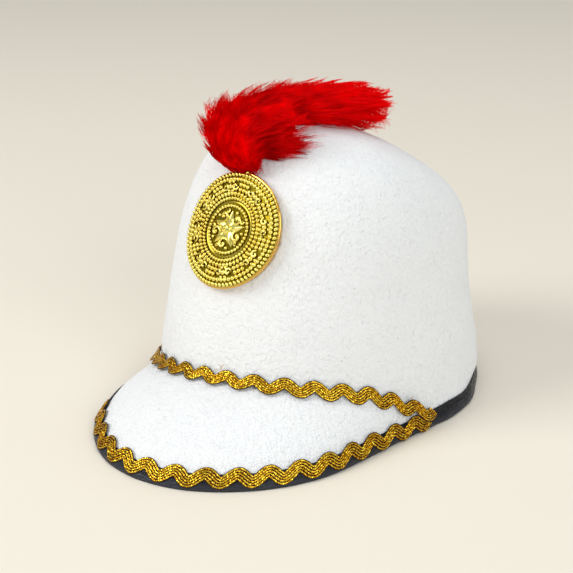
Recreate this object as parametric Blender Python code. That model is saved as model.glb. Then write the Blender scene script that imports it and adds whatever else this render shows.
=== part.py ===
"""Marching band hat: felt crown and peak, edge binding, two ric-rac braids, medallion and plume.

Metres, +Z up, the front of the hat towards -Y.  The hat is modelled about the centre of the
crown's base, and an empty sets that centre back so that the world origin lies under the middle
of the whole hat.
"""

import math

import bmesh
import bpy
import numpy as np
from mathutils import Matrix, Vector
from mathutils.bvhtree import BVHTree

# Thicknesses
FELT = 0.0020
TAPE = 0.0006
BRAID = 0.0008
GAP = 0.0003
SEAM_GAP = 0.0006
TAPE_GAP = 0.0005

# Crown: elliptical sections from the base up to the pole, each leaning back a little more
CROWN_HALF_WIDTH = 0.0925
CROWN_HALF_LENGTH = 0.1034
POLE_HEIGHT = 0.1507
WIDTH_TAPER = (0.25, -0.06)
LENGTH_TAPER = (0.18, 0.03)
WIDTH_ROUNDING = (8.96, 1.82)
LENGTH_ROUNDING = (7.64, 1.99)
CENTRE_DRIFT = (-0.0132, 0.0335)
SECTION_LEAN = 0.48
LEAN_POWER = 2.23
CROWN_RINGS = 15

# The base centre of the crown is this far behind the middle of the hat
CROWN_SET_BACK = 0.0300

# Corners, where the peak leaves the crown, in degrees round from the side towards the front
CORNER_ANGLE = 11.7
CORNER_RAMP = 3.7
PEAK_STEPS = 26
BACK_STEPS = 28

# Slope of the crown's wall at its base, in degrees
WALL_SLOPE = 85.0

# Height of the line where the peak joins the crown, from the right corner round to the left
# columns: degrees round from the right side, height
SEAM = (
    (11.7, 0.0094),
    (31.3, 0.0266),
    (50.9, 0.0338),
    (70.4, 0.0359),
    (90.0, 0.0347),
    (109.6, 0.0299),
    (129.1, 0.0226),
    (148.7, 0.0152),
    (168.3, 0.0094),
)

# Outline of the peak on the ground, about a point on the centre line; it sits a little askew
OUTLINE_CENTRE_Y = -0.045
# columns: degrees from the side towards the front, right radius, left radius
OUTLINE = (
    (0.0, 0.0873, 0.0846),
    (20.0, 0.0889, 0.0843),
    (40.0, 0.0990, 0.0962),
    (60.0, 0.1093, 0.1086),
    (80.0, 0.1176, 0.1178),
    (90.0, 0.1191, 0.1191),
)
PEAK_STRAIGHT_EDGE = 0.0105
PEAK_STRAIGHT_SHARE = 0.6
STEEPER_AT_EDGE = 0.70
FLATTER_AT_SEAM = 0.28
PEAK_CURVE_ROWS = 7

# Short step up the felt for measuring its slope, and the parts a curved profile is walked in
SLOPE_STEP = 0.0005
WALK_PARTS = 24

# Edge binding: a folded tape round the whole lower edge, heights measured up the felt
BINDING_OUTER_HEIGHT = 0.0095
BINDING_MIDDLE_HEIGHT = 0.0055
BINDING_INNER_HEIGHT = 0.0082

# Ric-rac braids
BRAID_HEIGHT = 0.0112
BRAID_RIBBON = 0.0064
STEPS_PER_WAVE = 8
SEAM_BRAID_SOFTNESS = 0.0050
SEAM_BRAID_REACH_UP = 0.006
SEAM_BRAID_LAP = 0.0019
SEAM_BRAID_STRIPS = 3
SEAM_BRAID_RIGHT_LAP = (0.018, 0.032)
SEAM_BRAID_LEFT_LAP = (0.016, 0.028)
SEAM_BRAID_WAVE = 0.0159
SEAM_BRAID_PHASE = 0.0067
PEAK_BRAID_RISE = 0.0071
PEAK_BRAID_DIP = 0.0012
PEAK_BRAID_DIP_LENGTH = 0.060
PEAK_BRAID_WAVE = 0.0165
PEAK_BRAID_PHASE = 0.0092
PEAK_BRAID_ENDS = (0.007, 0.102)
PEAK_BRAID_GAP = 0.0008

# Medallion: a disc bent to the crown, with a rim, a rope edge, a band, a ring and a star
MEDALLION_HEIGHT = 0.1148
MEDALLION_LEAN = 24.0
MEDALLION_TURN = -5.0
MEDALLION_STANDOFF = 0.0012
MEDALLION_BEND_RADIUS = 0.130
MEDALLION_SEAT_GAP = 0.0007
MEDALLION_RAY_START = 0.02
MEDALLION_SEGMENTS = 50
STAR_POINTS = 5
STAR_NOTCH = 0.46
MEDALLION_BACK_RADII = (0.0100, 0.0200, 0.0304)
# columns: radius, height, whether the ring follows the star
RELIEF = (
    (0.0324, 0.0000, False),
    (0.0320, 0.0010, False),
    (0.0296, 0.0012, False),
    (0.0290, 0.0021, False),
    (0.0266, 0.0023, False),
    (0.0258, 0.0016, False),
    (0.0186, 0.0022, False),
    (0.0180, 0.0032, False),
    (0.0160, 0.0032, False),
    (0.0154, 0.0022, False),
    (0.0142, 0.0024, True),
    (0.0134, 0.0036, True),
    (0.0070, 0.0046, True),
    (0.0034, 0.0050, False),
    (0.0018, 0.0061, False),
)

# Plume: the outer form of the feathers, a row for each section from the base to the tip
# columns: x, y, z, then how far it reaches left, right, over and under that point
PLUME = (
    (-0.003, -0.0680, 0.1474, 0.007, 0.009, 0.005, 0.004),
    (-0.006, -0.0715, 0.1540, 0.012, 0.014, 0.008, 0.008),
    (-0.009, -0.0700, 0.1610, 0.020, 0.023, 0.010, 0.016),
    (-0.009, -0.0590, 0.1670, 0.024, 0.032, 0.012, 0.022),
    (-0.008, -0.0420, 0.1705, 0.026, 0.036, 0.011, 0.022),
    (-0.004, -0.0200, 0.1710, 0.026, 0.033, 0.010, 0.018),
    (0.000, 0.0020, 0.1690, 0.025, 0.028, 0.009, 0.014),
    (0.002, 0.0220, 0.1650, 0.023, 0.022, 0.009, 0.012),
    (0.003, 0.0370, 0.1608, 0.018, 0.017, 0.008, 0.010),
    (0.004, 0.0465, 0.1572, 0.011, 0.012, 0.006, 0.008),
    (0.004, 0.0530, 0.1545, 0.004, 0.004, 0.002, 0.003),
)
PLUME_SEAT_GAP = 0.0009
PLUME_SECTIONS = 22
PLUME_SEGMENTS = 22
PLUME_FOLDS = 5
PLUME_FOLD_DEPTH = 0.07

# name: base colour, roughness, metallic
MATERIALS = {
    "white_felt": ((0.86, 0.87, 0.86), 0.95, 0.0),
    "black_tape": ((0.030, 0.030, 0.032), 0.30, 0.0),
    "gold_braid": ((0.76, 0.55, 0.16), 0.35, 0.9),
    "gold_plastic": ((0.83, 0.60, 0.12), 0.18, 1.0),
    "red_feather": ((0.62, 0.004, 0.006), 0.75, 0.0),
}


# ------------------------------------------------------------------ small helpers

def clear_scene():
    """Start from an empty file."""
    for thing in list(bpy.data.objects):
        bpy.data.objects.remove(thing, do_unlink=True)


def make_material(name):
    """A Principled material from the table of materials."""
    colour, roughness, metallic = MATERIALS[name]
    material = bpy.data.materials.new(name)
    material.use_nodes = True
    material.diffuse_color = (*colour, 1.0)
    shader = material.node_tree.nodes["Principled BSDF"]
    shader.inputs["Base Color"].default_value = (*colour, 1.0)
    shader.inputs["Roughness"].default_value = roughness
    shader.inputs["Metallic"].default_value = metallic
    return material


def smooth_value(table, key):
    """The second column of a table at a key, along a smooth curve through its rows."""
    keys = [row[0] for row in table]
    values = [row[1] for row in table]
    key = min(max(key, keys[0]), keys[-1])
    slopes = np.gradient(values, keys)
    right = min(max(int(np.searchsorted(keys, key)), 1), len(keys) - 1)
    left = right - 1
    span = keys[right] - keys[left]
    t = (key - keys[left]) / span
    start = (1 + 2 * t) * (1 - t) ** 2 * values[left] + t * (1 - t) ** 2 * span * slopes[left]
    end = t * t * (3 - 2 * t) * values[right] - t * t * (1 - t) * span * slopes[right]
    return start + end


def ease(value, low, high):
    """0 below low, 1 above high, smooth between."""
    t = min(max((value - low) / (high - low), 0.0), 1.0)
    return t * t * (3 - 2 * t)


def face_outwards(bm):
    """Turn all faces away from the origin, on the whole: for an open skin as for a closed body."""
    bmesh.ops.recalc_face_normals(bm, faces=bm.faces)
    outward = sum(f.normal.dot(f.calc_center_median()) * f.calc_area() for f in bm.faces)
    if outward < 0:
        bmesh.ops.reverse_faces(bm, faces=bm.faces)


def new_object(name, bm, material, parent):
    """Turn a bmesh into a smooth-shaded object with one material."""
    face_outwards(bm)
    mesh = bpy.data.meshes.new(name)
    bm.to_mesh(mesh)
    bm.free()
    mesh.materials.append(make_material(material))
    mesh.shade_smooth()
    mesh.set_sharp_from_angle(angle=math.radians(40))
    thing = bpy.data.objects.new(name, mesh)
    bpy.context.scene.collection.objects.link(thing)
    thing.parent = parent
    return thing


def skin(bm, rows, ring=False, loop=False):
    """Join rows of points with quads; ring closes each row, loop joins the last row to the first."""
    grid = [[bm.verts.new(point) for point in row] for row in rows]
    row_pairs = list(zip(grid, grid[1:]))
    if loop:
        row_pairs.append((grid[-1], grid[0]))
    for lower, upper in row_pairs:
        count = len(lower)
        for i in range(count if ring else count - 1):
            j = (i + 1) % count
            bm.faces.new((lower[i], lower[j], upper[j], upper[i]))
    return grid


def cap(bm, row, tip=None):
    """Close the end of a ringed skin with one face, or with a fan to a tip point."""
    if tip is None:
        bm.faces.new(row)
        return
    point = bm.verts.new(tip)
    for i, vert in enumerate(row):
        bm.faces.new((vert, row[(i + 1) % len(row)], point))


def tangents(points, closed):
    """Unit direction along a run of points at each point."""
    count = len(points)
    result = []
    for i in range(count):
        before = points[(i - 1) % count] if closed or i > 0 else points[i]
        after = points[(i + 1) % count] if closed or i < count - 1 else points[i]
        result.append((after - before).normalized())
    return result


def thicken(thing, thickness):
    """Give an open skin a wall on its inner side."""
    wall = thing.modifiers.new("wall", "SOLIDIFY")
    wall.thickness = thickness
    wall.offset = -1.0
    wall.use_even_offset = True


# ------------------------------------------------------------------ crown

def crown_point(rise, angle):
    """A point of the crown's outer surface: rise 0 at the base and 1 at the pole."""
    width = 1 - WIDTH_TAPER[0] * rise - WIDTH_TAPER[1] * rise ** 2
    width *= CROWN_HALF_WIDTH * (1 - rise ** WIDTH_ROUNDING[0]) ** (1 / WIDTH_ROUNDING[1])
    length = 1 - LENGTH_TAPER[0] * rise - LENGTH_TAPER[1] * rise ** 2
    length *= CROWN_HALF_LENGTH * (1 - rise ** LENGTH_ROUNDING[0]) ** (1 / LENGTH_ROUNDING[1])
    centre_y = CENTRE_DRIFT[0] * rise + CENTRE_DRIFT[1] * rise ** 2
    lean = SECTION_LEAN * rise ** LEAN_POWER
    along = length * math.sin(angle)
    return Vector((width * math.cos(angle), centre_y + along, rise * POLE_HEIGHT - lean * along))


def crown_rise_at(height, angle):
    """The rise at which the crown's surface reaches a height, on the wall."""
    rise = height / POLE_HEIGHT
    for _ in range(6):
        rise += (height - crown_point(rise, angle).z) / POLE_HEIGHT
    return rise


def seam_height(angle):
    """Height of the seam at an angle between the two corners."""
    return smooth_value(SEAM, -math.degrees(angle))


def even_rises(count):
    """Rises that space the rings evenly along the crown's front profile."""
    dense = np.sin(np.linspace(0, math.pi / 2, 400))
    profile = [crown_point(rise, -math.pi / 2) for rise in dense]
    steps = [(b - a).length for a, b in zip(profile, profile[1:])]
    travelled = np.concatenate([[0.0], np.cumsum(steps)])
    wanted = np.linspace(0, travelled[-1], count + 1)
    return np.interp(wanted, travelled, dense)


def front_angles():
    """Station angles from the right corner round the front to the left corner."""
    return [-math.radians(a) for a in np.linspace(CORNER_ANGLE, 180 - CORNER_ANGLE, PEAK_STEPS + 1)]


def back_angles():
    """Station angles from the left corner's ramp round the back to the right corner's ramp."""
    ramp = CORNER_ANGLE - CORNER_RAMP
    return [-math.radians(a) for a in np.linspace(180 - ramp, 360 + ramp, BACK_STEPS + 1)]


def channel_rise(slope):
    """How far up its slope the bottom of the binding's channel lies above the ground."""
    return (TAPE + (FELT + TAPE_GAP) * math.cos(slope)) / math.sin(slope)


def felt_edge_rise(slope):
    """How far up its slope the felt's edge lies above the ground, inside the binding."""
    return channel_rise(slope) + TAPE_GAP


def build_crown(parent):
    """The crown: a felt shell from its lower edge up to the pole."""
    columns = []
    for angle in front_angles():
        columns.append((angle, seam_height(angle)))
    for angle in back_angles():
        columns.append((angle, felt_edge_rise(math.radians(WALL_SLOPE))))
    bm = bmesh.new()
    rises = even_rises(CROWN_RINGS)
    rows = []
    for rise in rises[:-1]:
        row = []
        for angle, low_height in columns:
            low = crown_rise_at(low_height, angle)
            row.append(crown_point(low + (1 - low) * rise, angle))
        rows.append(row)
    grid = skin(bm, rows, ring=True)
    cap(bm, grid[-1], tip=crown_point(1.0, 0.0))
    crown = new_object("crown", bm, "white_felt", parent)
    thicken(crown, FELT)
    return crown


# ------------------------------------------------------------------ peak

def outline_table(column):
    """One side's outline, with the corner on the crown's base put in front of its rows."""
    corner = crown_point(0.0, -math.radians(CORNER_ANGLE))
    outward = corner.x
    backward = corner.y - OUTLINE_CENTRE_Y
    first = (-math.degrees(math.atan2(backward, outward)), math.hypot(outward, backward))
    return (first, *((row[0], row[column]) for row in OUTLINE))


class PeakSection:
    """One profile of the peak, from the seam on the crown down to its edge on the ground."""

    def __init__(self, angle):
        turn = -math.degrees(angle)
        rows = outline_table(1 if turn <= 90 else 2)
        forward = 1 - abs(turn - 90) / (90 - CORNER_ANGLE)
        polar = rows[0][0] + (rows[-1][0] - rows[0][0]) * forward
        radius = smooth_value(rows, polar)
        side = 1.0 if turn <= 90 else -1.0
        across = side * radius * math.cos(math.radians(polar))
        along = OUTLINE_CENTRE_Y - radius * math.sin(math.radians(polar))
        self.foot = Vector((across, along, 0.0))
        height = seam_height(angle)
        self.wall_top = crown_point(crown_rise_at(height, angle), angle)
        self.top = self.wall_top - Vector((0, 0, SEAM_GAP))
        self.into_crown = -Vector((
            math.cos(angle) / CROWN_HALF_WIDTH,
            math.sin(angle) / CROWN_HALF_LENGTH,
            0.0,
        )).normalized()
        flat = Vector((self.foot.x - self.top.x, self.foot.y - self.top.y, 0.0))
        self.outward = flat.normalized()
        off_vertical = math.atan2(flat.length, self.top.z) * STEEPER_AT_EDGE
        self.edge_slope = math.pi / 2 - off_vertical
        self.down_at_edge = self.heading(self.edge_slope)
        self.straight = min(PEAK_STRAIGHT_EDGE, PEAK_STRAIGHT_SHARE * (self.foot - self.top).length)
        self.end = self.foot - self.down_at_edge * self.straight
        chord = self.end - self.top
        chord_off_vertical = math.atan2(chord.dot(self.outward), -chord.z)
        bend = chord_off_vertical - off_vertical
        seam_off_vertical = chord_off_vertical + FLATTER_AT_SEAM * bend
        self.down_at_seam = self.heading(math.pi / 2 - seam_off_vertical)
        reach = chord.length * math.sin(bend) / math.sin(bend + FLATTER_AT_SEAM * bend)
        self.knee = self.top + self.down_at_seam * reach

    def heading(self, slope):
        """Unit direction that runs outward and down at a slope."""
        return self.outward * math.cos(slope) - Vector((0, 0, math.sin(slope)))

    def curve(self, t):
        """A point of the curved part, t from 0 at the seam to 1 where it turns straight."""
        return (1 - t) ** 2 * self.top + 2 * t * (1 - t) * self.knee + t * t * self.end

    def profile(self):
        """Outer points from the seam out to the felt's own edge."""
        points = [self.curve(k / PEAK_CURVE_ROWS) for k in range(PEAK_CURVE_ROWS + 1)]
        points.append(self.foot - self.down_at_edge * felt_edge_rise(self.edge_slope))
        return points


    def point_up(self, distance):
        """The outer point at a distance up from the ground, past the seam onto the crown."""
        if distance <= self.straight:
            return self.foot - self.down_at_edge * distance
        left = distance - self.straight
        points = [self.curve(1 - k / WALK_PARTS) for k in range(WALK_PARTS + 1)]
        points.append(self.wall_top + Vector((0, 0, BRAID_HEIGHT)) + self.into_crown * FELT / 2)
        for start, end in zip(points, points[1:]):
            step = (end - start).length
            if left <= step:
                return start + (end - start) * (left / step)
            left -= step
        return points[-1]


def inner_points(profiles, index):
    """The points one felt thickness behind a profile, square to the surface."""
    before = profiles[max(index - 1, 0)]
    after = profiles[min(index + 1, len(profiles) - 1)]
    result = []
    profile = profiles[index]
    for ahead, point, start, end in zip(tangents(profile, False), profile, before, after):
        result.append(point - (end - start).cross(ahead).normalized() * FELT)
    return result


def build_peak(parent):
    """The peak: a felt wall from under the crown's edge out to its own edge."""
    sections = [PeakSection(angle) for angle in front_angles()]
    profiles = [section.profile() for section in sections]
    rows = []
    for index, section in enumerate(sections):
        tuck = section.top + section.into_crown * FELT
        rows.append([tuck, *profiles[index], *reversed(inner_points(profiles, index))])
    bm = bmesh.new()
    grid = skin(bm, rows, ring=True)
    cap(bm, grid[0])
    cap(bm, grid[-1])
    return new_object("peak", bm, "white_felt", parent)


# ------------------------------------------------------------------ edge binding

class WallStation:
    """A station on the crown's wall behind the corners, like a section of the peak."""

    def __init__(self, angle):
        self.angle = angle
        self.foot = crown_point(0.0, angle)
        wall = self.point_up(BINDING_OUTER_HEIGHT) - self.foot
        self.edge_slope = math.asin(wall.z / wall.length)

    def point_up(self, distance):
        """The outer point at a distance up from the ground."""
        return crown_point(crown_rise_at(distance, self.angle), self.angle)


def edge_normals(stations, distance, closed):
    """Outward normals of the felt at a distance up from the ground at each station."""
    points = [station.point_up(distance) for station in stations]
    higher = [station.point_up(distance + SLOPE_STEP) for station in stations]
    result = []
    for ahead, point, above in zip(tangents(points, closed), points, higher):
        result.append(ahead.cross(above - point).normalized())
    if result[0].dot(points[0] - Vector((0, OUTLINE_CENTRE_Y, 0))) < 0:
        result = [-normal for normal in result]
    return points, result


def build_binding(parent):
    """The binding: a tape folded round the edge of the felt, flat underneath."""
    stations = [PeakSection(angle) for angle in front_angles()]
    stations += [WallStation(angle) for angle in back_angles()]
    levels = {}
    for height in (0.0, BINDING_MIDDLE_HEIGHT, BINDING_INNER_HEIGHT, BINDING_OUTER_HEIGHT):
        levels[height] = edge_normals(stations, height, True)
    near = TAPE_GAP
    far = TAPE_GAP + TAPE
    rows = []
    for i, station in enumerate(stations):
        def at(height, offset):
            points, normals = levels[height]
            return points[i] + normals[i] * offset

        slope = station.edge_slope
        up = (levels[BINDING_MIDDLE_HEIGHT][0][i] - station.foot).normalized()
        out = levels[0.0][1][i]
        channel = station.foot + up * channel_rise(slope)
        flat = 1 / math.tan(slope)
        outer_foot = station.foot + (out - up * flat) * far
        inner_foot = station.foot - (out - up * flat) * (FELT + far)
        outer_foot.z = 0.0
        inner_foot.z = 0.0
        rows.append([
            outer_foot,
            at(BINDING_MIDDLE_HEIGHT, far),
            at(BINDING_OUTER_HEIGHT, far),
            at(BINDING_OUTER_HEIGHT, near),
            at(BINDING_MIDDLE_HEIGHT, near),
            channel + out * near,
            channel - out * (FELT + near),
            at(BINDING_MIDDLE_HEIGHT, -FELT - near),
            at(BINDING_INNER_HEIGHT, -FELT - near),
            at(BINDING_INNER_HEIGHT, -FELT - far),
            at(BINDING_MIDDLE_HEIGHT, -FELT - far),
            inner_foot,
        ])
    bm = bmesh.new()
    skin(bm, rows, ring=True, loop=True)
    return new_object("edge_binding", bm, "black_tape", parent)


# ------------------------------------------------------------------ braids

def swing(travel, length, phase):
    """Sideways swing of a ric-rac's wave at a distance along it."""
    return (BRAID_HEIGHT - BRAID_RIBBON) / 2 * math.sin(2 * math.pi * (travel - phase) / length)


def path_lookup(angles, points):
    """Distances along a path, for reading angles back from distances."""
    steps = [(b - a).length for a, b in zip(points, points[1:])]
    travelled = np.concatenate([[0.0], np.cumsum(steps)])
    return travelled, np.array(angles)


def braid_stations(start, end, length):
    """Even distances along a braid, a few to each wave."""
    count = round((end - start) / length * STEPS_PER_WAVE)
    return np.linspace(start, end, count + 1)


def dense_front_angles():
    """Many angles round the front, for measuring along the seam and the edge."""
    return [-math.radians(a) for a in np.linspace(CORNER_ANGLE, 180 - CORNER_ANGLE, 241)]


def build_seam_braid(parent):
    """The braid in the hollow between crown and peak, half on each."""
    angles = dense_front_angles()
    corner_line = [crown_point(crown_rise_at(seam_height(a), a), a) for a in angles]
    travelled, angles = path_lookup(angles, corner_line)
    rows = []
    length = travelled[-1]
    for travel in braid_stations(0.0, length, SEAM_BRAID_WAVE):
        angle = float(np.interp(travel, travelled, angles))
        section = PeakSection(angle)
        above = crown_point(crown_rise_at(section.wall_top.z + SEAM_BRAID_REACH_UP, angle), angle)
        up_wall = (above - section.wall_top).normalized()
        down_peak = section.down_at_seam
        right_lap = 1 - ease(travel, *SEAM_BRAID_RIGHT_LAP)
        left_lap = 1 - ease(length - travel, *SEAM_BRAID_LEFT_LAP)
        lift = GAP + SEAM_BRAID_LAP * max(right_lap, left_lap)
        middle = swing(travel, SEAM_BRAID_WAVE, SEAM_BRAID_PHASE)
        row = []
        for layer in (lift, lift + BRAID):
            layer_points = []
            for k in range(SEAM_BRAID_STRIPS + 1):
                across = middle + BRAID_RIBBON * (k / SEAM_BRAID_STRIPS - 0.5)
                root = math.hypot(across, SEAM_BRAID_SOFTNESS)
                upward = (root + across) / 2
                downward = (root - across) / 2
                point = section.wall_top + up_wall * upward + down_peak * downward
                ahead = up_wall * (1 + across / root) + down_peak * (across / root - 1)
                flat_normal = Vector((section.outward.x, section.outward.y, 0.0))
                axis = flat_normal.cross(Vector((0, 0, 1)))
                normal = axis.cross(ahead).normalized()
                if normal.z + normal.dot(flat_normal) < 0:
                    normal = -normal
                layer_points.append(point + normal * layer)
            row.append(layer_points)
        rows.append(row[0] + row[1][::-1])
    bm = bmesh.new()
    grid = skin(bm, rows, ring=True)
    cap(bm, grid[0])
    cap(bm, grid[-1])
    return new_object("seam_braid", bm, "gold_braid", parent)


def build_peak_braid(parent):
    """The braid on the steep edge of the peak, over the binding."""
    angles = dense_front_angles()
    sections = [PeakSection(angle) for angle in angles]
    line = [s.foot - s.down_at_edge * PEAK_BRAID_RISE for s in sections]
    travelled, angles = path_lookup(angles, line)
    first, spare = PEAK_BRAID_ENDS
    stations = braid_stations(first, travelled[-1] - spare, PEAK_BRAID_WAVE)
    chosen = [PeakSection(float(np.interp(t, travelled, angles))) for t in stations]
    _, normals = edge_normals(chosen, PEAK_BRAID_RISE, False)
    low = TAPE_GAP + TAPE + PEAK_BRAID_GAP
    rows = []
    for travel, section, normal in zip(stations, chosen, normals):
        near_end = min(travel, travelled[-1] - travel)
        dip = PEAK_BRAID_DIP * (1 - ease(near_end, 0.0, PEAK_BRAID_DIP_LENGTH))
        middle = PEAK_BRAID_RISE - dip + swing(travel, PEAK_BRAID_WAVE, PEAK_BRAID_PHASE)
        lower = section.point_up(middle - BRAID_RIBBON / 2)
        upper = section.point_up(middle + BRAID_RIBBON / 2)
        rows.append([
            lower + normal * low,
            upper + normal * low,
            upper + normal * (low + BRAID),
            lower + normal * (low + BRAID),
        ])
    bm = bmesh.new()
    grid = skin(bm, rows, ring=True)
    cap(bm, grid[0])
    cap(bm, grid[-1])
    return new_object("peak_braid", bm, "gold_braid", parent)


# ------------------------------------------------------------------ medallion and plume

def outer_surface():
    """A search tree of the crown's outer surface, in the hat's own frame."""
    bm = bmesh.new()
    rises = even_rises(3 * CROWN_RINGS)
    angles = [math.radians(a) for a in range(0, 360, 4)]
    grid = skin(bm, [[crown_point(rise, a) for a in angles] for rise in rises[:-1]], ring=True)
    cap(bm, grid[-1], tip=crown_point(1.0, 0.0))
    bmesh.ops.recalc_face_normals(bm, faces=bm.faces)
    tree = BVHTree.FromBMesh(bm)
    bm.free()
    return tree


def star_radius(turn):
    """Radius of a straight-sided star at an angle, 1 at its points."""
    half = math.pi / STAR_POINTS
    off_point = abs((turn + half) % (2 * half) - half)
    across = STAR_NOTCH * math.sin(half)
    return across / (STAR_NOTCH * math.sin(half - off_point) + math.sin(off_point))


def build_medallion(parent, surface):
    """The medallion: a relief disc in front of the crown, its back following the felt."""
    seat = crown_point(crown_rise_at(MEDALLION_HEIGHT, -math.pi / 2), -math.pi / 2)
    place = Matrix.Translation(seat)
    place = place @ Matrix.Rotation(math.radians(MEDALLION_TURN), 4, "Z")
    place = place @ Matrix.Rotation(math.radians(90 - MEDALLION_LEAN), 4, "X")
    place = place @ Matrix.Translation((0, 0, MEDALLION_STANDOFF))
    outward = place.to_3x3() @ Vector((0, 0, 1))
    to_local = place.inverted()

    def bent(radius, turn, height):
        across = radius * math.cos(turn) / MEDALLION_BEND_RADIUS
        reach = MEDALLION_BEND_RADIUS + height
        drop = reach * math.cos(across) - MEDALLION_BEND_RADIUS
        return Vector((reach * math.sin(across), radius * math.sin(turn), drop))

    def on_felt(point):
        start = place @ (point + Vector((0, 0, MEDALLION_RAY_START)))
        hit = surface.ray_cast(start, -outward)[0]
        return to_local @ (hit + outward * MEDALLION_SEAT_GAP)

    turns = [math.pi / 2 + 2 * math.pi * k / MEDALLION_SEGMENTS for k in range(MEDALLION_SEGMENTS)]
    rows = [[on_felt(bent(r, turn, 0.0)) for turn in turns] for r in MEDALLION_BACK_RADII]
    for radius, height, star_shaped in RELIEF:
        row = []
        for turn in turns:
            shape = star_radius(turn - math.pi / 2) if star_shaped else 1.0
            row.append(bent(radius * shape, turn, height))
        rows.append(row)
    bm = bmesh.new()
    grid = skin(bm, rows, ring=True)
    cap(bm, grid[0], tip=on_felt(Vector((0, 0, 0))))
    cap(bm, grid[-1], tip=bent(0.0, 0.0, RELIEF[-1][1]))
    medallion = new_object("medallion", bm, "gold_plastic", parent)
    medallion.matrix_local = place
    return medallion


def lifted(surface, point, gap):
    """The point, or the nearest place that clears the crown by a gap."""
    near, normal, _, _ = surface.find_nearest(point)
    if (point - near).dot(normal) < gap:
        return near + normal * gap
    return point


def build_plume(parent, surface):
    """The plume's outer form: from above the medallion up and back over the crown."""
    sections = []
    for place in np.linspace(0, len(PLUME) - 1, PLUME_SECTIONS):
        columns = [list(enumerate(column)) for column in zip(*PLUME)]
        sections.append([smooth_value(column, place) for column in columns])
    centres = [Vector(section[:3]) for section in sections]
    rows = []
    for section, centre, ahead in zip(sections, centres, tangents(centres, False)):
        left, right, over, under = section[3:]
        across = Vector((1, 0, 0))
        away = across.cross(ahead).normalized()
        points = []
        for k in range(PLUME_SEGMENTS):
            turn = 2 * math.pi * k / PLUME_SEGMENTS
            fold = 1 - PLUME_FOLD_DEPTH * math.sin(PLUME_FOLDS * turn / 2) ** 2
            sideways = (right if math.cos(turn) > 0 else left) * math.cos(turn) * fold
            outwards = (over if math.sin(turn) > 0 else under) * math.sin(turn) * fold
            points.append(lifted(surface, centre + across * sideways + away * outwards, PLUME_SEAT_GAP))
        rows.append(points)
    bm = bmesh.new()
    grid = skin(bm, rows, ring=True)
    cap(bm, grid[0])
    cap(bm, grid[-1])
    return new_object("plume", bm, "red_feather", parent)


def main():
    """Build the hat."""
    clear_scene()
    hat = bpy.data.objects.new("hat", None)
    hat.location = (0.0, CROWN_SET_BACK, 0.0)
    bpy.context.scene.collection.objects.link(hat)
    surface = outer_surface()
    build_crown(hat)
    build_peak(hat)
    build_binding(hat)
    build_seam_braid(hat)
    build_peak_braid(hat)
    build_medallion(hat, surface)
    build_plume(hat, surface)
    bpy.context.view_layer.update()


main()
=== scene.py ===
# %% [markdown]
# # A marching band hat
# The hat is a stiff white felt crown with a small felt peak. A black tape binds the whole lower
# edge, two gold ric-rac braids trim the peak, a moulded gold medallion sits high on the front,
# and a red feather plume is tucked in above it and sweeps back over the top.
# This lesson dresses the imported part: each piece is modelled in the space that its solid holds.
# All sizes are in metres, and the front of the hat faces -Y.

import functools
import math

import bmesh
import bpy
import numpy as np
from mathutils import Matrix, Vector, noise
from mathutils.bvhtree import BVHTree


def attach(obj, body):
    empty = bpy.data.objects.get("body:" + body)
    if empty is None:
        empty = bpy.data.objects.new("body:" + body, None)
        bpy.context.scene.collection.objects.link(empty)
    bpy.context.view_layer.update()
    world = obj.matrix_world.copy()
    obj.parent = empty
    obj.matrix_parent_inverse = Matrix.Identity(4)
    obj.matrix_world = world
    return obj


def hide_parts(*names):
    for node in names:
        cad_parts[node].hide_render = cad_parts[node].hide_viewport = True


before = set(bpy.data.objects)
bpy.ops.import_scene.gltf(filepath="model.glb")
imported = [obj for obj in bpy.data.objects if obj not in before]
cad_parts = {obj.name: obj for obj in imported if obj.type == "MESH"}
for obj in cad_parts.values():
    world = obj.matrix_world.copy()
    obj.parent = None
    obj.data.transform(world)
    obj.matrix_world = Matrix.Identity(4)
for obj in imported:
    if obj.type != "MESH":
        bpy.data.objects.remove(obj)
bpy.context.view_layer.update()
TAU = 2 * math.pi
print("the part's nodes:", sorted(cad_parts))

# %% [markdown]
# ## Helpers
# Almost every piece here is a sheet or a strand. A sheet starts as a flat grid, which is then
# bent into place point by point, so a seam is only two edges that meet and are merged. A strand
# is a curve with a small profile, turned into a mesh at the end. The pieces could also be pushed
# into shape by hand, but a formula lets neighbours share one surface and never drift apart.

# %% Helpers for sheets
WELD = 1e-6


def put_in_scene(name, data):
    """An object of some data, linked to the scene."""
    thing = bpy.data.objects.new(name, data)
    bpy.context.scene.collection.objects.link(thing)
    return thing


def as_mesh(name, bm):
    """A bmesh made into a mesh."""
    mesh = bpy.data.meshes.new(name)
    bm.to_mesh(mesh)
    bm.free()
    return mesh


def bent_sheet(columns, rows, place):
    """A grid of quads whose points place(u, v) sets, with u and v running from 0 to 1."""
    bm = bmesh.new()
    bm.loops.layers.uv.new("UVMap")
    bmesh.ops.create_grid(bm, x_segments=columns, y_segments=rows, size=0.5, calc_uvs=True)
    for vert in bm.verts:
        vert.co = place(vert.co.x + 0.5, vert.co.y + 0.5)
    bmesh.ops.remove_doubles(bm, verts=bm.verts, dist=WELD)
    bmesh.ops.recalc_face_normals(bm, faces=bm.faces)
    return bm


def turn_outwards(bm, inside):
    """Face an open sheet away from a point inside it, so that its wall grows inwards."""
    outward = sum(f.normal.dot(f.calc_center_median() - inside) * f.calc_area() for f in bm.faces)
    if outward < 0:
        bmesh.ops.reverse_faces(bm, faces=bm.faces)


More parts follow.
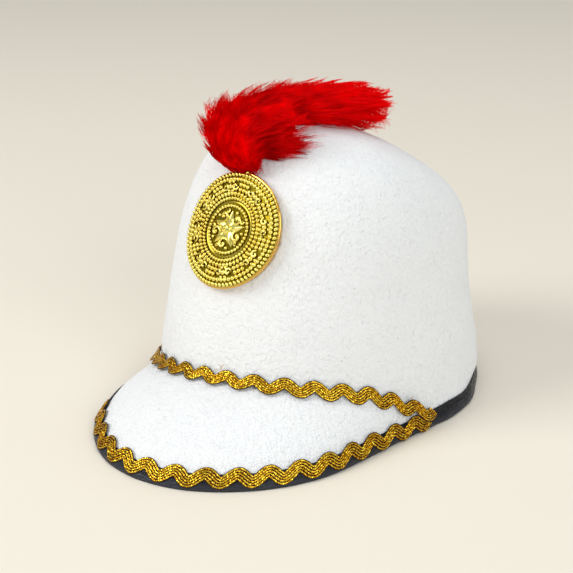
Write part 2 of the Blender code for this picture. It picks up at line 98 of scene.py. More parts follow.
# %% Show a piece
def show(name, shape, material, node=None, crease=None):
    """Put a finished mesh or bmesh in the scene as one piece of the hat."""
    mesh = as_mesh(name, shape) if isinstance(shape, bmesh.types.BMesh) else shape
    mesh.materials.clear()
    mesh.materials.append(material)
    mesh.shade_smooth()
    if crease:
        mesh.set_sharp_from_angle(angle=math.radians(crease))
    piece = put_in_scene(name, mesh)
    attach(piece, "root")
    if node:
        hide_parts(node)
    triangles = sum(len(face.vertices) - 2 for face in mesh.polygons)
    print(f"{name}: {triangles} triangles")
    return piece


def give_wall(piece, thickness):
    """A wall on the inner side of a sheet."""
    wall = piece.modifiers.new("wall", "SOLIDIFY")
    wall.thickness = thickness
    wall.offset = -1.0
    wall.use_even_offset = False
    print(f"{piece.name}: wall {thickness * 1000:.1f} mm")


# %% Helpers for strands
STRAND_WELD = 1e-8


def profile_curve(sides, flatness):
    """A small closed profile for strands: a polygon with a number of sides."""
    curve = bpy.data.curves.new("profile", "CURVE")
    curve.dimensions = "2D"
    line = curve.splines.new("POLY")
    line.points.add(sides - 1)
    line.use_cyclic_u = True
    for index, point in enumerate(line.points):
        turn = TAU * (index + 0.5) / sides
        point.co = (math.cos(turn), flatness * math.sin(turn), 0, 1)
    return put_in_scene("profile", curve)


def strands_mesh(name, strands, sides=3, flatness=1.0):
    """A mesh of strands; each is (points, radii, twist), with twist in turns per point."""
    profile = profile_curve(sides, flatness)
    curve = bpy.data.curves.new(name, "CURVE")
    curve.dimensions = "3D"
    curve.bevel_mode = "OBJECT"
    curve.bevel_object = profile
    curve.use_fill_caps = True
    for points, radii, twist in strands:
        count = len(points)
        line = curve.splines.new("POLY")
        line.points.add(count - 1)
        line.points.foreach_set("co", np.c_[points, np.ones(count)].astype(np.float32).ravel())
        line.points.foreach_set("radius", np.asarray(radii, np.float32))
        if twist:
            line.points.foreach_set("tilt", (np.arange(count) * twist * TAU).astype(np.float32))
    thing = put_in_scene(name, curve)
    depsgraph = bpy.context.evaluated_depsgraph_get()
    mesh = bpy.data.meshes.new_from_object(thing.evaluated_get(depsgraph))
    for used in (thing, profile):
        data = used.data
        bpy.data.objects.remove(used)
        bpy.data.curves.remove(data)
    bm = bmesh.new()
    bm.from_mesh(mesh)
    bmesh.ops.remove_doubles(bm, verts=bm.verts, dist=STRAND_WELD)
    bm.to_mesh(mesh)
    bm.free()
    return mesh


# %% Helpers for curves and ramps
def smooth_value(table, key):
    """The second column of a table at a key, along a smooth curve through its rows."""
    keys = [row[0] for row in table]
    values = [row[1] for row in table]
    key = min(max(key, keys[0]), keys[-1])
    slopes = np.gradient(values, keys)
    right = min(max(int(np.searchsorted(keys, key)), 1), len(keys) - 1)
    left = right - 1
    span = keys[right] - keys[left]
    t = (key - keys[left]) / span
    start = (1 + 2 * t) * (1 - t) ** 2 * values[left] + t * (1 - t) ** 2 * span * slopes[left]
    end = t * t * (3 - 2 * t) * values[right] - t * t * (1 - t) * span * slopes[right]
    return start + end


def ease(value, low, high):
    """0 below low, 1 above high, smooth between."""
    t = min(max((value - low) / (high - low), 0.0), 1.0)
    return t * t * (3 - 2 * t)


def unit(vectors):
    """Rows of vectors scaled to a length of 1."""
    return vectors / np.linalg.norm(vectors, axis=-1, keepdims=True)


# %% [markdown]
# ## Node groups
# Three effects turn up in more than one finish, so each is a node group that is built once:
# a slow drift in tone, a fine grain for bumps, and an uneven gloss. Textures painted on an
# unwrapped surface could do the same, but noise that is read in metres on the hat itself needs
# no unwrapping and has no seams. Each material places the groups with its own sizes.


# %% Node helpers
def feed(tree, node, inputs):
    """Set each named input of a node to a value, or link it to the socket that drives it."""
    for label, value in inputs.items():
        if isinstance(value, bpy.types.NodeSocket):
            tree.links.new(value, node.inputs[label])
        else:
            node.inputs[label].default_value = value


def add_node(tree, kind, inputs=None, **settings):
    """A shader node with its settings and its inputs."""
    node = tree.nodes.new("ShaderNode" + kind)
    for name, value in settings.items():
        setattr(node, name, value)
    feed(tree, node, inputs or {})
    return node


def math_node(tree, operation, *values):
    """The result of a Math node on values or sockets."""
    return add_node(tree, "Math", dict(enumerate(values)), operation=operation).outputs[0]


def blend(tree, share, colour, other):
    """One colour turning into another by a share."""
    inputs = {"Factor": share, "A": colour, "B": other}
    return add_node(tree, "Mix", inputs, data_type="RGBA").outputs["Result"]


def ramp(tree, value, low, high, start=0.0, end=1.0):
    """A value between low and high turned into one between start and end."""
    inputs = {"Value": value, "From Min": low, "From Max": high, "To Min": start, "To Max": end}
    return add_node(tree, "MapRange", inputs).outputs["Result"]


# %% Noise on the hat
def hat_place(tree):
    """The place on the hat, in metres."""
    return add_node(tree, "TexCoord").outputs["Object"]


def hat_axis(tree, axis):
    """One coordinate of the place on the hat."""
    return add_node(tree, "SeparateXYZ", {"Vector": hat_place(tree)}).outputs[axis]


def even_noise(tree, size, detail, roughness=0.5):
    """Noise on the hat whose features are about as large as a size in metres."""
    inputs = {
        "Vector": hat_place(tree), "Scale": math_node(tree, "DIVIDE", 1.0, size),
        "Detail": detail, "Roughness": roughness,
    }
    return add_node(tree, "TexNoise", inputs).outputs["Fac"]


def drawn_out_noise(tree, place, scale, detail, distortion=0.0):
    """Noise with a scale of its own along each axis."""
    stretch = add_node(tree, "Mapping", {"Vector": place, "Scale": scale})
    inputs = {
        "Vector": stretch.outputs["Vector"], "Scale": 1.0,
        "Detail": detail, "Distortion": distortion,
    }
    return add_node(tree, "TexNoise", inputs).outputs["Fac"]


# %% New node group
def new_group(name, output, output_type, **inputs):
    """An empty node group with named inputs at their usual values, and one output."""
    group = bpy.data.node_groups.new(name, "ShaderNodeTree")
    for label, value in inputs.items():
        kind = "NodeSocketColor" if isinstance(value, tuple) else "NodeSocketFloat"
        label = label.replace("_", " ")
        socket = group.interface.new_socket(label, in_out="INPUT", socket_type=kind)
        socket.default_value = value
    group.interface.new_socket(output, in_out="OUTPUT", socket_type=output_type)
    print(f"{name}: group with {len(inputs)} inputs")
    given = group.nodes.new("NodeGroupInput").outputs
    return group, given, group.nodes.new("NodeGroupOutput")


# %% Tone drift
tone_drift, given, result = new_group(
    "tone_drift", "Colour", "NodeSocketColor", Colour=(0.8, 0.8, 0.8, 1.0),
    Other_Colour=(0.5, 0.5, 0.5, 1.0), Size=0.02, Amount=0.3, Contrast=2.4)
centred = math_node(tone_drift, "SUBTRACT", even_noise(tone_drift, given["Size"], 3.0), 0.5)
spread = math_node(tone_drift, "MULTIPLY_ADD", centred, given["Contrast"], 0.5)
share = math_node(tone_drift, "MULTIPLY", spread, given["Amount"])
drifted = blend(tone_drift, share, given["Colour"], given["Other Colour"])
feed(tone_drift, result, {"Colour": drifted})

# %% Fine grain
fine_grain, given, result = new_group(
    "fine_grain", "Height", "NodeSocketFloat", Size=0.001, Sharpness=1.0)
grain = even_noise(fine_grain, given["Size"], 4.0, 0.6)
feed(fine_grain, result, {"Height": math_node(fine_grain, "POWER", grain, given["Sharpness"])})

# %% Uneven gloss
uneven_gloss, given, result = new_group(
    "uneven_gloss", "Roughness", "NodeSocketFloat", Size=0.01, Smoothest=0.2, Roughest=0.4)
patch = even_noise(uneven_gloss, given["Size"], 3.0)
span = math_node(uneven_gloss, "SUBTRACT", given["Roughest"], given["Smoothest"])
level = math_node(uneven_gloss, "MULTIPLY_ADD", patch, span, given["Smoothest"])
feed(uneven_gloss, result, {"Roughness": level})


# %% Material helpers
def new_material(name):
    """A material with its tree and its Principled shader."""
    material = bpy.data.materials.new(name)
    material.use_nodes = True
    tree = material.node_tree
    print("material:", name)
    return material, tree, tree.nodes["Principled BSDF"]


def place_group(tree, group, **values):
    """The output of a placed group; underscores in its labels stand for spaces."""
    inputs = {label.replace("_", " "): value for label, value in values.items()}
    return add_node(tree, "Group", inputs, node_tree=group).outputs[0]


def bump_from(tree, height, distance, strength=1.0, under=None):
    """A bump fed by a height, on top of another bump if there is one."""
    inputs = {"Height": height, "Distance": distance, "Strength": strength}
    if under is not None:
        inputs["Normal"] = under
    return add_node(tree, "Bump", inputs).outputs["Normal"]


# %% [markdown]
# ## White felt
# Stiffened craft felt is matted fibre: matt, a little soft at grazing angles, and pebbled where
# the fibres clump. Real hairs this short would have to be counted in millions. Three grains of
# bump, one of them drawn out upright, and a few grey specks give the nap instead, and a low
# sheen lights it at the outline.

# %% White felt material
felt, tree, shader = new_material("white_felt")
tone = place_group(tree, tone_drift, Colour=(0.90, 0.905, 0.90, 1), Size=0.030, Amount=0.5,
                   Other_Colour=(0.86, 0.868, 0.872, 1))
cells = add_node(tree, "TexVoronoi", {"Vector": hat_place(tree), "Scale": 190.0})
speck = ramp(tree, cells.outputs["Distance"], 0.05, 0.14, 0.45, 0.0)
chance = add_node(tree, "SeparateColor", {"Color": cells.outputs["Color"]}).outputs[0]
speck = math_node(tree, "MULTIPLY", speck, math_node(tree, "GREATER_THAN", chance, 0.72))
pebbles = place_group(tree, fine_grain, Size=0.0026, Sharpness=1.4)
streaks = drawn_out_noise(tree, hat_place(tree), (900, 900, 260), 3.0)
lint = place_group(tree, fine_grain, Size=0.0009, Sharpness=1.0)
matted = bump_from(tree, streaks, 0.0007, 0.8, bump_from(tree, pebbles, 0.0015))
feed(tree, shader, {
    "Base Color": blend(tree, speck, tone, (0.50, 0.51, 0.52, 1)),
    "Roughness": 0.95,
    "Specular IOR Level": 0.25,
    "Sheen Weight": 0.25,
    "Sheen Roughness": 0.45,
    "Normal": bump_from(tree, lint, 0.0004, 0.8, matted),
})

# %% [markdown]
# ## Crown
# The crown is blocked over a form, so its sections are smooth ellipses that taper a little and
# round over at the top. A sphere could be sculpted to that shape, but the seam, the braids and
# the medallion all have to find its surface, so one formula gives any point of it. The felt
# hangs on that formula: a sheet from the lower edge to the pole, with shallow dents, and then a
# wall of 2 mm.

# %% Crown sizes
FELT = 0.0020
TAPE = 0.0006
TAPE_GAP = 0.0005
SEAM_GAP = 0.0006
CROWN_HALF_WIDTH = 0.0925
CROWN_HALF_LENGTH = 0.1034
POLE_HEIGHT = 0.1507
CROWN_SET_BACK = 0.0300
WIDTH_TAPER = (0.25, -0.06)
LENGTH_TAPER = (0.18, 0.03)
WIDTH_ROUNDING = (8.96, 1.82)
LENGTH_ROUNDING = (7.64, 1.99)
CENTRE_DRIFT = (-0.0132, 0.0335)
SECTION_LEAN = 0.48
LEAN_POWER = 2.23
SWELL_STARTS = (0.15, 0.45)
SEARCH_ROUNDS = 6
# columns: height, how far the felt behind stands out there
BACK_SWELL = (
    (0.000, -0.0010), (0.0075, -0.0010), (0.0110, 0.0010), (0.018, 0.0019), (0.045, 0.0015),
    (0.065, 0.0007), (0.085, 0.0007), (0.105, 0.0014), (0.125, 0.0013), (0.138, 0.0004),
    (0.150, 0.0),
)
CORNER_ANGLE = 11.7
CORNER_RAMP = 3.7
BACK_WALL_SLOPE = 85
# columns: degrees round from the right side, height of the seam between crown and peak
SEAM = (
    (11.7, 0.0094), (31.3, 0.0266), (50.9, 0.0338), (70.4, 0.0359), (90.0, 0.0347),
    (109.6, 0.0299), (129.1, 0.0226), (148.7, 0.0152), (168.3, 0.0094),
)
FRONT = -math.pi / 2


# %% Crown form
def back_swell(rise, angle):
    """How far the felt swells behind; it draws in at its foot, where the tape grips it."""
    behind = ease(math.sin(angle), *SWELL_STARTS)
    return behind and behind * smooth_value(BACK_SWELL, rise * POLE_HEIGHT)


def half_size(full, rise, taper, rounding):
    """Half the width or length of the crown at a rise."""
    tapered = full * (1 - taper[0] * rise - taper[1] * rise ** 2)
    return tapered * max(1 - rise ** rounding[0], 0.0) ** (1 / rounding[1])


def crown_point(rise, angle):
    """A point of the crown's outer surface: rise 0 at the base and 1 at the pole."""
    swell = back_swell(rise, angle)
    width = half_size(CROWN_HALF_WIDTH, rise, WIDTH_TAPER, WIDTH_ROUNDING) + swell
    length = half_size(CROWN_HALF_LENGTH, rise, LENGTH_TAPER, LENGTH_ROUNDING) + swell
    centre_y = CROWN_SET_BACK + CENTRE_DRIFT[0] * rise + CENTRE_DRIFT[1] * rise ** 2
    lean = SECTION_LEAN * max(rise, 0.0) ** LEAN_POWER
    along = length * math.sin(angle)
    return Vector((width * math.cos(angle), centre_y + along, rise * POLE_HEIGHT - lean * along))


def crown_rise_at(height, angle):
    """The rise at which the crown's surface reaches a height, on the wall."""
    rise = height / POLE_HEIGHT
    for _ in range(SEARCH_ROUNDS):
        rise += (height - crown_point(rise, angle).z) / POLE_HEIGHT
    return rise


def crown_at(height, angle):
    """The point of the crown's wall at a height."""
    return crown_point(crown_rise_at(height, angle), angle)


print("top of the crown's form:", tuple(round(value, 4) for value in crown_point(1.0, FRONT)))


# %% Crown edge
def seam_height(angle):
    """Height of the seam at an angle between the two corners."""
    return smooth_value(SEAM, -math.degrees(angle))


def felt_edge_rise(slope):
    """How far up its slope the felt's edge lies above the ground, inside the binding."""
    return (TAPE + (FELT + TAPE_GAP) * math.cos(slope)) / math.sin(slope) + TAPE_GAP


def crown_edge_height(angle):
    """Height of the crown's lower edge: the seam in front, the binding's channel behind."""
    turn = (90 - math.degrees(angle)) % 360 - 90
    from_corner = min(turn - CORNER_ANGLE, 180 - CORNER_ANGLE - turn)
    if from_corner >= 0:
        return seam_height(angle)
    start = SEAM[0][1]
    back = felt_edge_rise(math.radians(BACK_WALL_SLOPE))
    return start + (back - start) * min(-from_corner / CORNER_RAMP, 1.0)


print(f"in front the crown's edge is {crown_edge_height(FRONT):.4f} m up")


# %% Crown sheet
CROWN_COLUMNS = 260
CROWN_ROWS = 90
# columns: how deep, how large
CROWN_DENTS = ((0.00045, 0.022), (0.00010, 0.0045))
RISE_STEPS = 600
dense_rise = np.sin(np.linspace(0, math.pi / 2, RISE_STEPS))


def travel_table(points):
    """Distance travelled at each point of a path."""
    steps = [(b - a).length for a, b in zip(points, points[1:])]
    return np.concatenate([[0.0], np.cumsum(steps)])


front_travel = travel_table([crown_point(rise, FRONT) for rise in dense_rise])
front_travel /= front_travel[-1]


@functools.cache
def edge_rise(share):
    """The rise of the crown's lower edge at a share of the way round, worked out once."""
    return crown_rise_at(crown_edge_height(-TAU * share), -TAU * share)


def crown_place(u, v):
    """Where a point of the crown's sheet goes: u round it, v from the lower edge to the pole."""
    low = edge_rise(round(u, 6) % 1.0)
    rise = float(np.interp(v, front_travel, dense_rise))
    return crown_point(low + (1 - low) * rise, -TAU * u)


def dented(bm, dents):
    """Push the points of a sheet in and out along their normals by slow noise."""
    for depth, size in dents:
        bm.normal_update()
        moves = [vert.normal * depth * noise.noise(vert.co / size) for vert in bm.verts]
        for vert, move in zip(bm.verts, moves):
            vert.co += move


crown_sheet = bent_sheet(CROWN_COLUMNS, CROWN_ROWS, crown_place)
turn_outwards(crown_sheet, Vector((0, CROWN_SET_BACK, POLE_HEIGHT / 2)))
crown_tree = BVHTree.FromBMesh(crown_sheet)
dented(crown_sheet, CROWN_DENTS)
crown = show("felt_crown", crown_sheet, felt, "crown")
give_wall(crown, FELT)

# %% [markdown]
# ## Peak
# The peak leaves the crown along a seam that is high in front and low at the two corners, curves
# down and out, and ends in a steep straight edge. A flat sheet could be cut out and bent, but its
# seam would then miss the crown. So each section runs from the seam: a curve and a straight run
# to the foot. The outline on the ground is a table of radii for each side, because the peak sits
# a little askew.

# %% Peak outline
OUTLINE_CENTRE_Y = -0.045 + CROWN_SET_BACK
# columns: degrees from the side towards the front, right radius, left radius
OUTLINE = (
    (0.0, 0.0873, 0.0846), (20.0, 0.0889, 0.0843), (40.0, 0.0990, 0.0962),
    (60.0, 0.1093, 0.1086), (80.0, 0.1176, 0.1178), (90.0, 0.1191, 0.1191),
)


def outline_table(column):
    """One side's outline, with the corner on the crown's base put in front of its rows."""
    corner = crown_point(0.0, -math.radians(CORNER_ANGLE))
    backward = corner.y - OUTLINE_CENTRE_Y
    first = (-math.degrees(math.atan2(backward, corner.x)), math.hypot(corner.x, backward))
    return (first, *((row[0], row[column]) for row in OUTLINE))


RIGHT_OUTLINE = outline_table(1)
LEFT_OUTLINE = outline_table(2)


def outline_point(turn):
    """Where the peak's edge meets the ground, at degrees round from the right side."""
    rows, side = (RIGHT_OUTLINE, 1) if turn <= 90 else (LEFT_OUTLINE, -1)
    forward = 1 - abs(turn - 90) / (90 - CORNER_ANGLE)
    degrees = rows[0][0] + (rows[-1][0] - rows[0][0]) * forward
    radius = smooth_value(rows, degrees)
    across = side * radius * math.cos(math.radians(degrees))
    return Vector((across, OUTLINE_CENTRE_Y - radius * math.sin(math.radians(degrees)), 0.0))


corner = outline_point(CORNER_ANGLE)
print(f"the right corner stands on the ground at {corner.x:.4f}, {corner.y:.4f}")

# %% Peak sections
PEAK_STRAIGHT_EDGE = 0.0105
MOST_STRAIGHT = 0.6
STEEPER_AT_EDGE = 0.70
FLATTER_AT_SEAM = 0.28
CURVE_STEPS = 24
ABOVE_SEAM = 0.0112


class PeakSection:
    """One profile of the peak, from the seam on the crown down to its edge on the ground."""

    def __init__(self, angle):
        self.angle = angle
        self.foot = outline_point(-math.degrees(angle))
        self.wall_top = crown_at(seam_height(angle), angle)
        self.top = self.wall_top - Vector((0, 0, SEAM_GAP))
        flat = Vector((self.foot.x - self.top.x, self.foot.y - self.top.y, 0.0))
        self.outward = flat.normalized()
        off_vertical = math.atan2(flat.length, self.top.z) * STEEPER_AT_EDGE
        self.edge_slope = math.pi / 2 - off_vertical
        self.down_at_edge = self.heading(self.edge_slope)
        longest = MOST_STRAIGHT * (self.foot - self.top).length
        self.straight = min(PEAK_STRAIGHT_EDGE, longest)
        self.end = self.foot - self.down_at_edge * self.straight
        chord = self.end - self.top
        chord_off_vertical = math.atan2(chord.dot(self.outward), -chord.z)
        bend = chord_off_vertical - off_vertical
        flatter = FLATTER_AT_SEAM * bend
        self.down_at_seam = self.heading(math.pi / 2 - chord_off_vertical - flatter)
        reach = chord.length * math.sin(bend) / math.sin(bend + flatter)
        self.knee = self.top + self.down_at_seam * reach
        points = [self.curve(1 - k / CURVE_STEPS) for k in range(CURVE_STEPS + 1)]
        out_of_crown = Vector((
            math.cos(angle) / CROWN_HALF_WIDTH, math.sin(angle) / CROWN_HALF_LENGTH, 0.0))
        above = Vector((0, 0, ABOVE_SEAM)) - out_of_crown.normalized() * FELT / 2
        points.append(self.wall_top + above)
        self.up_travel = travel_table(points) + self.straight
        self.up_points = np.array(points)

    def heading(self, slope):
        """Unit direction that runs outward and down at a slope."""
        return self.outward * math.cos(slope) - Vector((0, 0, math.sin(slope)))

    def curve(self, t):
        """A point of the curved part, t from 0 at the seam to 1 where it turns straight."""
        return (1 - t) ** 2 * self.top + 2 * t * (1 - t) * self.knee + t * t * self.end

    def point_up(self, distance):
        """The outer point at a distance up from the ground, past the seam onto the crown."""
        if distance <= self.straight:
            return self.foot - self.down_at_edge * distance
        return Vector([np.interp(distance, self.up_travel, axis) for axis in self.up_points.T])


# %% Sections by angle
@functools.cache
def section_at(angle):
    """The peak's section at an angle, worked out once."""
    return PeakSection(angle)


def front_angle(share):
    """Angle of a share of the way from the right corner round the front to the left corner."""
    return round(-math.radians(CORNER_ANGLE + (180 - 2 * CORNER_ANGLE) * share), 7)


front_slope = math.degrees(section_at(FRONT).edge_slope)
print(f"the peak's edge in front slopes at {front_slope:.0f} degrees")


# %% Peak sheet
PEAK_COLUMNS = 220
PEAK_ROWS = 36
CURVED_SHARE = 0.82
PEAK_DENTS = ((0.00030, 0.020), (0.00008, 0.0045))


def peak_place(u, v):
    """Where a point of the peak's sheet goes: u from corner to corner, v from seam to edge."""
    section = section_at(front_angle(u))
    if v <= CURVED_SHARE:
        return section.curve(v / CURVED_SHARE)
    down = (v - CURVED_SHARE) / (1 - CURVED_SHARE)
    low = felt_edge_rise(section.edge_slope)
    return section.end + section.down_at_edge * (section.straight - low) * down


peak_sheet = bent_sheet(PEAK_COLUMNS, PEAK_ROWS, peak_place)
turn_outwards(peak_sheet, Vector((0, CROWN_SET_BACK, 0)))
dented(peak_sheet, PEAK_DENTS)
peak = show("felt_peak", peak_sheet, felt, "peak")
give_wall(peak, FELT)

# %% [markdown]
# ## Black binding
# The binding is a strip of glossy vinyl folded over the cut edge of the felt and stitched flat.
# A bevelled curve would sweep such a strip, but its profile wouldn't follow the changing slope of
# the felt. Here a short section of heights and offsets is set on the felt at each of many
# stations. The strip wrinkles all round, flares at the two corners, where the felt's slope
# changes, and is a little narrower behind them.

# %% Black tape material
tape, tree, shader = new_material("black_tape")
tone = place_group(tree, tone_drift, Colour=(0.006, 0.0065, 0.009, 1), Size=0.012, Amount=0.6,
                   Other_Colour=(0.016, 0.017, 0.022, 1))
# Painted reflection: the tape is lightened to a bluish grey towards its lower edge, as if it caught
# the pale floor below.
painted_floor_reflection = ramp(tree, hat_axis(tree, "Z"), 0.0055, 0.0010, 0.0, 0.8)
layout = add_node(tree, "UVMap", uv_map="UVMap").outputs["UV"]
folds = drawn_out_noise(tree, layout, (75, 9, 1), 4.0, 0.6)
pores = place_group(tree, fine_grain, Size=0.0007, Sharpness=1.0)
feed(tree, shader, {
    "Base Color": blend(tree, painted_floor_reflection, tone, (0.045, 0.048, 0.060, 1)),
    "Roughness": place_group(tree, uneven_gloss, Size=0.006, Smoothest=0.14, Roughest=0.40),
    "Specular IOR Level": 0.16,
    "Normal": bump_from(tree, pores, 0.0001, 0.25, bump_from(tree, folds, 0.0024, 0.8)),
})


# %% Stations round the edge
FRONT_STATIONS = 260
BACK_STATIONS = 220
RAMP_ANGLE = CORNER_ANGLE - CORNER_RAMP
BINDING_TOP = 0.0095
NORMAL_STEP = 0.0005


class WallStation:
    """A station on the crown's wall behind the corners, like a section of the peak."""

    def __init__(self, angle):
        self.angle = angle

    def point_up(self, distance):
        """The outer point at a distance up from the ground."""
        return crown_at(distance, self.angle)


edge_stations = [section_at(front_angle(k / FRONT_STATIONS)) for k in range(FRONT_STATIONS + 1)]
for turn in np.linspace(180 - RAMP_ANGLE, 360 + RAMP_ANGLE, BACK_STATIONS + 1):
    edge_stations.append(WallStation(-math.radians(turn)))
STATION_COUNT = len(edge_stations)


def loop_normals(distance):
    """Smoothed outward normals of the felt at a distance up from the ground, all round."""
    points = np.array([station.point_up(distance) for station in edge_stations])
    above = np.array([station.point_up(distance + NORMAL_STEP) for station in edge_stations])
    ahead = np.roll(points, -2, axis=0) - np.roll(points, 2, axis=0)
    normals = unit(np.cross(ahead, above - points))
    if ((points - points.mean(axis=0)) * normals).sum() < 0:
        normals = -normals
    return unit(sum(np.roll(normals, shift, axis=0) for shift in range(-3, 4)))


NORMAL_HEIGHTS = (0.0, 0.0050, BINDING_TOP)
normals_at = [loop_normals(height) for height in NORMAL_HEIGHTS]
print("stations round the edge:", STATION_COUNT)

# %% Binding form
# columns: height up the felt, offset out from its outer face; from the inner lip to the outer
BINDING_SECTION = (
    (0.0082, -0.0025), (0.0084, -0.0029), (0.0080, -0.0031), (0.0055, -0.0032), (0.0025, -0.0031),
    (0.0009, -0.0029), (0.0001, -0.0021), (0.0000, -0.0010), (0.0001, 0.0002), (0.0007, 0.0009),
    (0.0017, 0.00125), (0.0027, 0.00130), (0.0037, 0.00130), (0.0047, 0.00125), (0.0056, 0.00120),
    (0.0062, 0.00105), (0.0066, 0.00090), (0.0070, 0.00105), (0.0077, 0.00120), (0.0084, 0.00115),
    (0.0090, 0.00095), (0.0094, 0.00070), (0.0095, 0.00040), (0.0090, 0.00025),
)


def behind_corner(index):
    """How many stations a place lies behind the nearer corner, less than 0 in front."""
    if index < FRONT_STATIONS:
        return -min(index, FRONT_STATIONS - index)
    return min(index - FRONT_STATIONS, STATION_COUNT - 1 - index)


print("points across the binding:", len(BINDING_SECTION))

# %% Wrinkles and flare
STATION_STEP = 0.0012
# columns: lift, how fast it changes along, on the slant and up the tape, place in the noise
WRINKLES = ((0.00022, 90, 0, 120, 3.1), (0.00010, 330, 260, 60, 7.7))
LAP_STATION = 461
LAP_SLANT = 900
LAP_WIDTH = 3.0
LAP_BULGE = 0.00030
# the next two count stations behind the nearer corner
FLARE_STARTS = (-8, 8)
FLARE_ENDS = (20, 40)
FLARE = 0.0022


def puffed(index, height):
    """How far wrinkles and the lap lift the tape's outer layer."""
    lift = 0.0
    for depth, along, slant, up, depth_place in WRINKLES:
        across = index * STATION_STEP * along + height * slant
        lift += depth * noise.noise(Vector((across, height * up, depth_place)))
    lap = (index - LAP_STATION + height * LAP_SLANT) / LAP_WIDTH
    lift += LAP_BULGE * math.exp(-lap ** 2)
    return lift * math.sin(math.pi * min(height / BINDING_TOP, 1.0))


def flared(index, height):
    """How far the tape's lower edge stands out round the two corners."""
    behind = behind_corner(index)
    flare = FLARE * ease(behind, *FLARE_STARTS) * (1 - ease(behind, *FLARE_ENDS))
    return flare * (1 - min(height / BINDING_TOP, 1.0)) ** 1.5


# %% Binding sheet
OUTER_LAYER = 0.0005
OUTSIDE = 0.0001
LEAST_HEIGHT = 0.0001
BACK_NARROWING = 0.17
# counted in stations behind the nearer corner
NARROWING_STARTS = (6, 22)


def binding_place(u, v):
    """Where a point of the binding goes: u round the edge, v across the strip."""
    index = round(u * STATION_COUNT) % STATION_COUNT
    height, offset = BINDING_SECTION[round(v * (len(BINDING_SECTION) - 1))]
    height *= 1 - BACK_NARROWING * ease(behind_corner(index), *NARROWING_STARTS)
    level = height / BINDING_TOP * 2
    low = min(int(level), 1)
    normal = normals_at[low][index] * (1 - level + low) + normals_at[low + 1][index] * (level - low)
    if offset > OUTER_LAYER:
        offset += puffed(index, height)
    if offset > OUTSIDE:
        offset += flared(index, height)
    point = edge_stations[index].point_up(height) + Vector(normal) * offset
    point.z = max(point.z, LEAST_HEIGHT)
    return point


binding_sheet = bent_sheet(STATION_COUNT, len(BINDING_SECTION) - 1, binding_place)
show("black_binding", binding_sheet, tape, "edge_binding")

# %% [markdown]
# ## Gold ric-rac
# Ric-rac is a narrow braid pulled into a wave. Five thick yarns run along the wave side by side,
# each wrapped in flat metallic foil, so it glitters in short dashes. A bump on a flat ribbon
# would be lighter, but would look printed from near. So each yarn is a strand with a flat profile
# that twists as it goes, over a dark ground. Its distance from the middle of the braid is
# measured square to the wave, which makes broad round crests and tight notches.

# %% Gold braid materials
BRIGHTEST_X = 0.031


def foil_material(name, colour, shade, smoothest, roughest, metallic):
    """Wrapped foil: metal with a dashed change of tone, and painted shade that browns both ends."""
    material, tree, shader = new_material(name)
    # Painted shade: away from the brightest place on the front, the foil and the ground are turned
    # browner, as if they faced away from the light.
    aside = math_node(tree, "SUBTRACT", hat_axis(tree, "X"), BRIGHTEST_X)
    painted_side_shade = ramp(tree, math_node(tree, "ABSOLUTE", aside), 0.040, 0.105, 0.95, 3.2)
    feed(tree, shader, {
        "Base Color": place_group(tree, tone_drift, Colour=(*colour, 1), Other_Colour=(*shade, 1),
                                  Size=0.0012, Amount=painted_side_shade, Contrast=3.5),
        "Roughness": place_group(tree, uneven_gloss, Size=0.002, Smoothest=smoothest,
                                 Roughest=roughest),
        "Metallic": metallic,
    })
    return material


gold_yarn = foil_material("gold_yarn", (1.0, 0.71, 0.06), (0.52, 0.23, 0.004), 0.10, 0.30, 1.0)
# Painted shade: the ground under the yarns is a near-black brown, standing in for the shadow in the
# gaps between them.
brown_ground = foil_material(
    "brown_ground", (0.060, 0.022, 0.001), (0.025, 0.009, 0.001), 0.85, 1.0, 0.0)

# %% Tables for the beds
BED_COLUMNS = 420
FRONT_ANGLES = 480


class BraidBed:
    """A surface as a table of points and normals, by place across and distance along."""

    def __init__(self, across, travel, points, normals):
        self.across = across
        self.travel = travel
        self.points = np.array(points)
        self.normals = np.array(normals)

    def read(self, table, across, travel):
        """The table's value between its rows and columns, and straight on past its ends."""
        row = (across - self.across[0]) / (self.across[1] - self.across[0])
        column = (travel - self.travel[0]) / (self.travel[1] - self.travel[0])
        low_row = np.clip(row.astype(int), 0, len(self.across) - 2)
        low_column = np.clip(column.astype(int), 0, len(self.travel) - 2)
        up = (row - low_row)[:, None]
        on = (column - low_column)[:, None]
        lower = table[low_row, low_column] * (1 - on) + table[low_row, low_column + 1] * on
        upper = table[low_row + 1, low_column] * (1 - on) + table[low_row + 1, low_column + 1] * on
        return lower * (1 - up) + upper * up


front_angles = [front_angle(k / FRONT_ANGLES) for k in range(FRONT_ANGLES + 1)]
front_sections = [section_at(angle) for angle in front_angles]
print("sections along the front:", len(front_sections))


def even_sections(line):
    """Sections at even distances along a line that has a point at each front angle."""
    travelled = travel_table(line)
    travel = np.linspace(0.0, travelled[-1], BED_COLUMNS)
    return travel, [section_at(float(a)) for a in np.interp(travel, travelled, front_angles)]


# %% The bed of the seam braid
SEAM_BED_REACH = 0.008
SEAM_BED_ROWS = 33
WALL_STEP = 0.006
SEAM_BRAID_SOFTNESS = 0.0050


